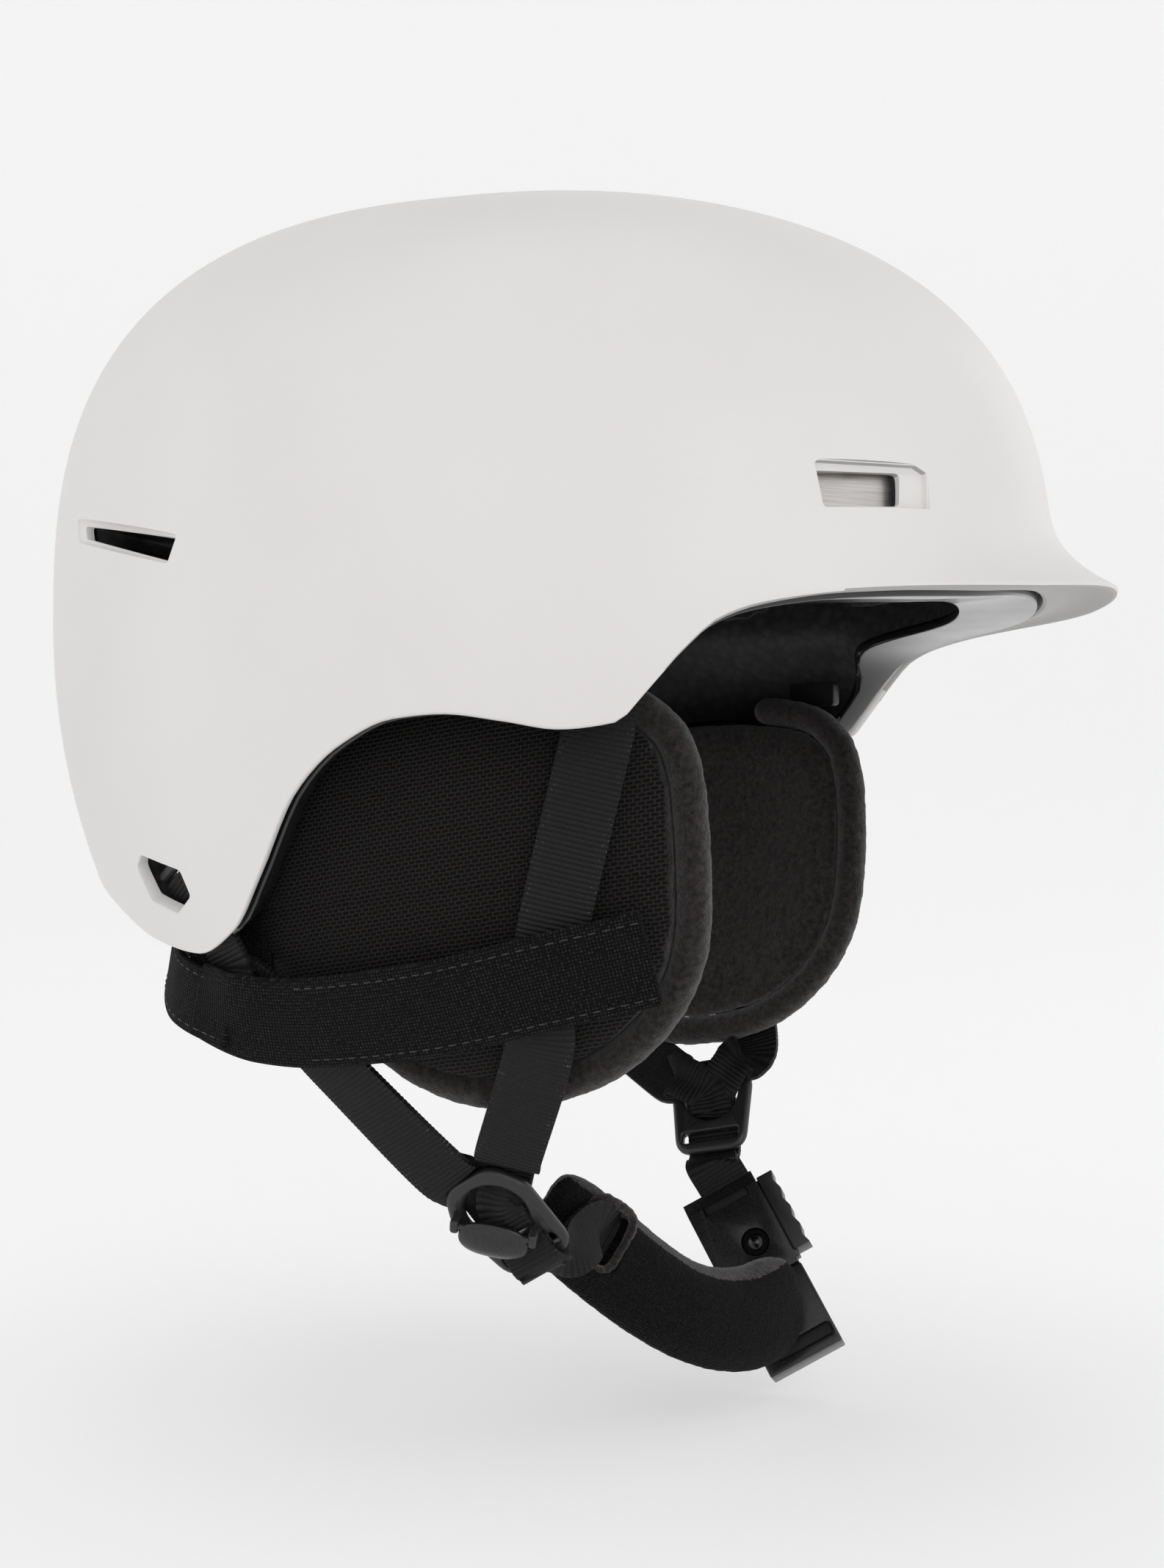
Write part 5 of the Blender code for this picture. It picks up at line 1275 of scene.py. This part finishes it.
def inBuckle(name, corners, levels, material, body):
    piece = loft(buckleAxes, corners, levels)
    piece.name = piece.data.name = name
    piece.data.materials.append(material)
    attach(soften(piece, 50), body)
    return piece


# webbing folded into both slots, the rail that guides the slider, and the catch's round magnet
half = buckle["thick"] / 2
end = buckle["top"] + buckle["body"] + buckle["tongue"]
inBuckle("webbingFold", boxCorners(1.75 * mm, 7.1 * mm, 1.0 * mm, buckle["top"] + 5.0 * mm, 2.0 * mm),
         ((-half + 0.8 * mm, -0.4 * mm), (-half + 1.2 * mm, 0.0), (half - 0.5 * mm, 0.0)), webbing, "left_flap")
inBuckle("tabFold", boxCorners(1.95 * mm, 8.6 * mm, 1.0 * mm, end + 4.4 * mm, 1.0 * mm),
         ((-half + 0.5 * mm, -0.4 * mm), (-half + 0.9 * mm, 0.0), (half - 1.6 * mm, 0.0)), webbing, "chin_strap")
inBuckle("sliderRail", boxCorners(12.0 * mm, 1.0 * mm, 0.6 * mm, buckle["top"] + 15.5 * mm, -8.3 * mm),
         ((-2.4 * mm, -0.2 * mm), (-2.2 * mm, 0.0), (2.2 * mm, 0.0), (2.4 * mm, -0.2 * mm)), grainPlastic, "left_flap")
bm = bmesh.new()
bmesh.ops.create_uvsphere(bm, u_segments=32, v_segments=20, radius=2.6 * mm,
                          matrix=buckleAxes @ Matrix.Translation((buckle["top"] + 0.62 * buckle["body"], 0, 1.4 * mm - half)))
addPiece(bm, "magnetBall", [blackGloss], "left_flap", sharp=180)
print("chin strap made")


# studio: a round sweep of pale floor and wall, soft lights and the camera

studio = {"floor": -0.1668, "radius": 3.2, "curve": 1.4, "height": 4.0, "lens": 52.25,
          "back": (-0.9336, -0.3584, 0.0), "aim": (0.0, -0.012, 0.0), "distance": 0.604}


def buildSweep():
    bm = bmesh.new()
    flat = studio["radius"] - studio["curve"]
    profile = [(0.0, 0.0), (flat, 0.0)]
    profile += [(flat + studio["curve"] * math.sin(t), studio["curve"] * (1 - math.cos(t)))
                for t in (math.radians(7.5 * i) for i in range(1, 13))]
    profile.append((studio["radius"], studio["height"]))
    verts = [bm.verts.new((x, 0, z + studio["floor"])) for x, z in profile]
    edges = [bm.edges.new(pair) for pair in zip(verts, verts[1:])]
    bmesh.ops.spin(bm, geom=verts + edges, cent=(0, 0, 0), axis=(0, 0, 1), steps=96, angle=2 * math.pi, use_merge=True)
    bmesh.ops.remove_doubles(bm, verts=bm.verts, dist=1e-5)
    bmesh.ops.recalc_face_normals(bm, faces=bm.faces)
    return bm


paper, tree, shader = baseMaterial("studioPaper", roughness=0.9, specular=0.1, Emission_Strength=0.40)
shader.inputs["Emission Color"].default_value = (1.0, 1.0, 1.0, 1.0)
tree.links.new(between(tree, noiseOn(tree, objectCoords(tree), 1.5), (0.60, 0.60, 0.60), (0.62, 0.62, 0.62)),
               shader.inputs["Base Color"])
sweep = addPiece(buildSweep(), "studioSweep", [paper], outward=False)

world = bpy.data.worlds.new("studioWorld")
world.use_nodes = True
world.node_tree.nodes["Background"].inputs["Color"].default_value = (1.0, 1.0, 1.0, 1.0)
world.node_tree.nodes["Background"].inputs["Strength"].default_value = 0.4
scene.world = world


def areaLight(name, place, size, power, target=(0, 0, 0.02)):
    light = bpy.data.lights.new(name, "AREA")
    light.shape = "DISK"
    light.size = size
    light.energy = power
    obj = bpy.data.objects.new(name, light)
    scene.collection.objects.link(obj)
    obj.location = place
    obj.rotation_euler = (Vector(target) - Vector(place)).to_track_quat("-Z", "Y").to_euler()
    return obj


areaLight("topLight", (-0.3, -0.2, 2.2), 2.2, 9)
areaLight("keyLight", (-1.9, -1.7, 0.9), 1.3, 7)
areaLight("fillLight", (-1.2, 1.9, 0.5), 1.3, 2)
areaLight("farLight", (1.9, -0.9, 0.6), 1.2, 2)

lens = bpy.data.cameras.new("camera")
lens.lens = studio["lens"]
lens.sensor_width = 36.0
lens.clip_start = 0.01
camera = bpy.data.objects.new("camera", lens)
scene.collection.objects.link(camera)
back = Vector(studio["back"]).normalized()
camera.location = Vector(studio["aim"]) + back * studio["distance"]
camera.rotation_euler = (-back).to_track_quat("-Z", "Y").to_euler()
scene.camera = camera
scene.view_settings.view_transform = "Standard"
print("studio ready")
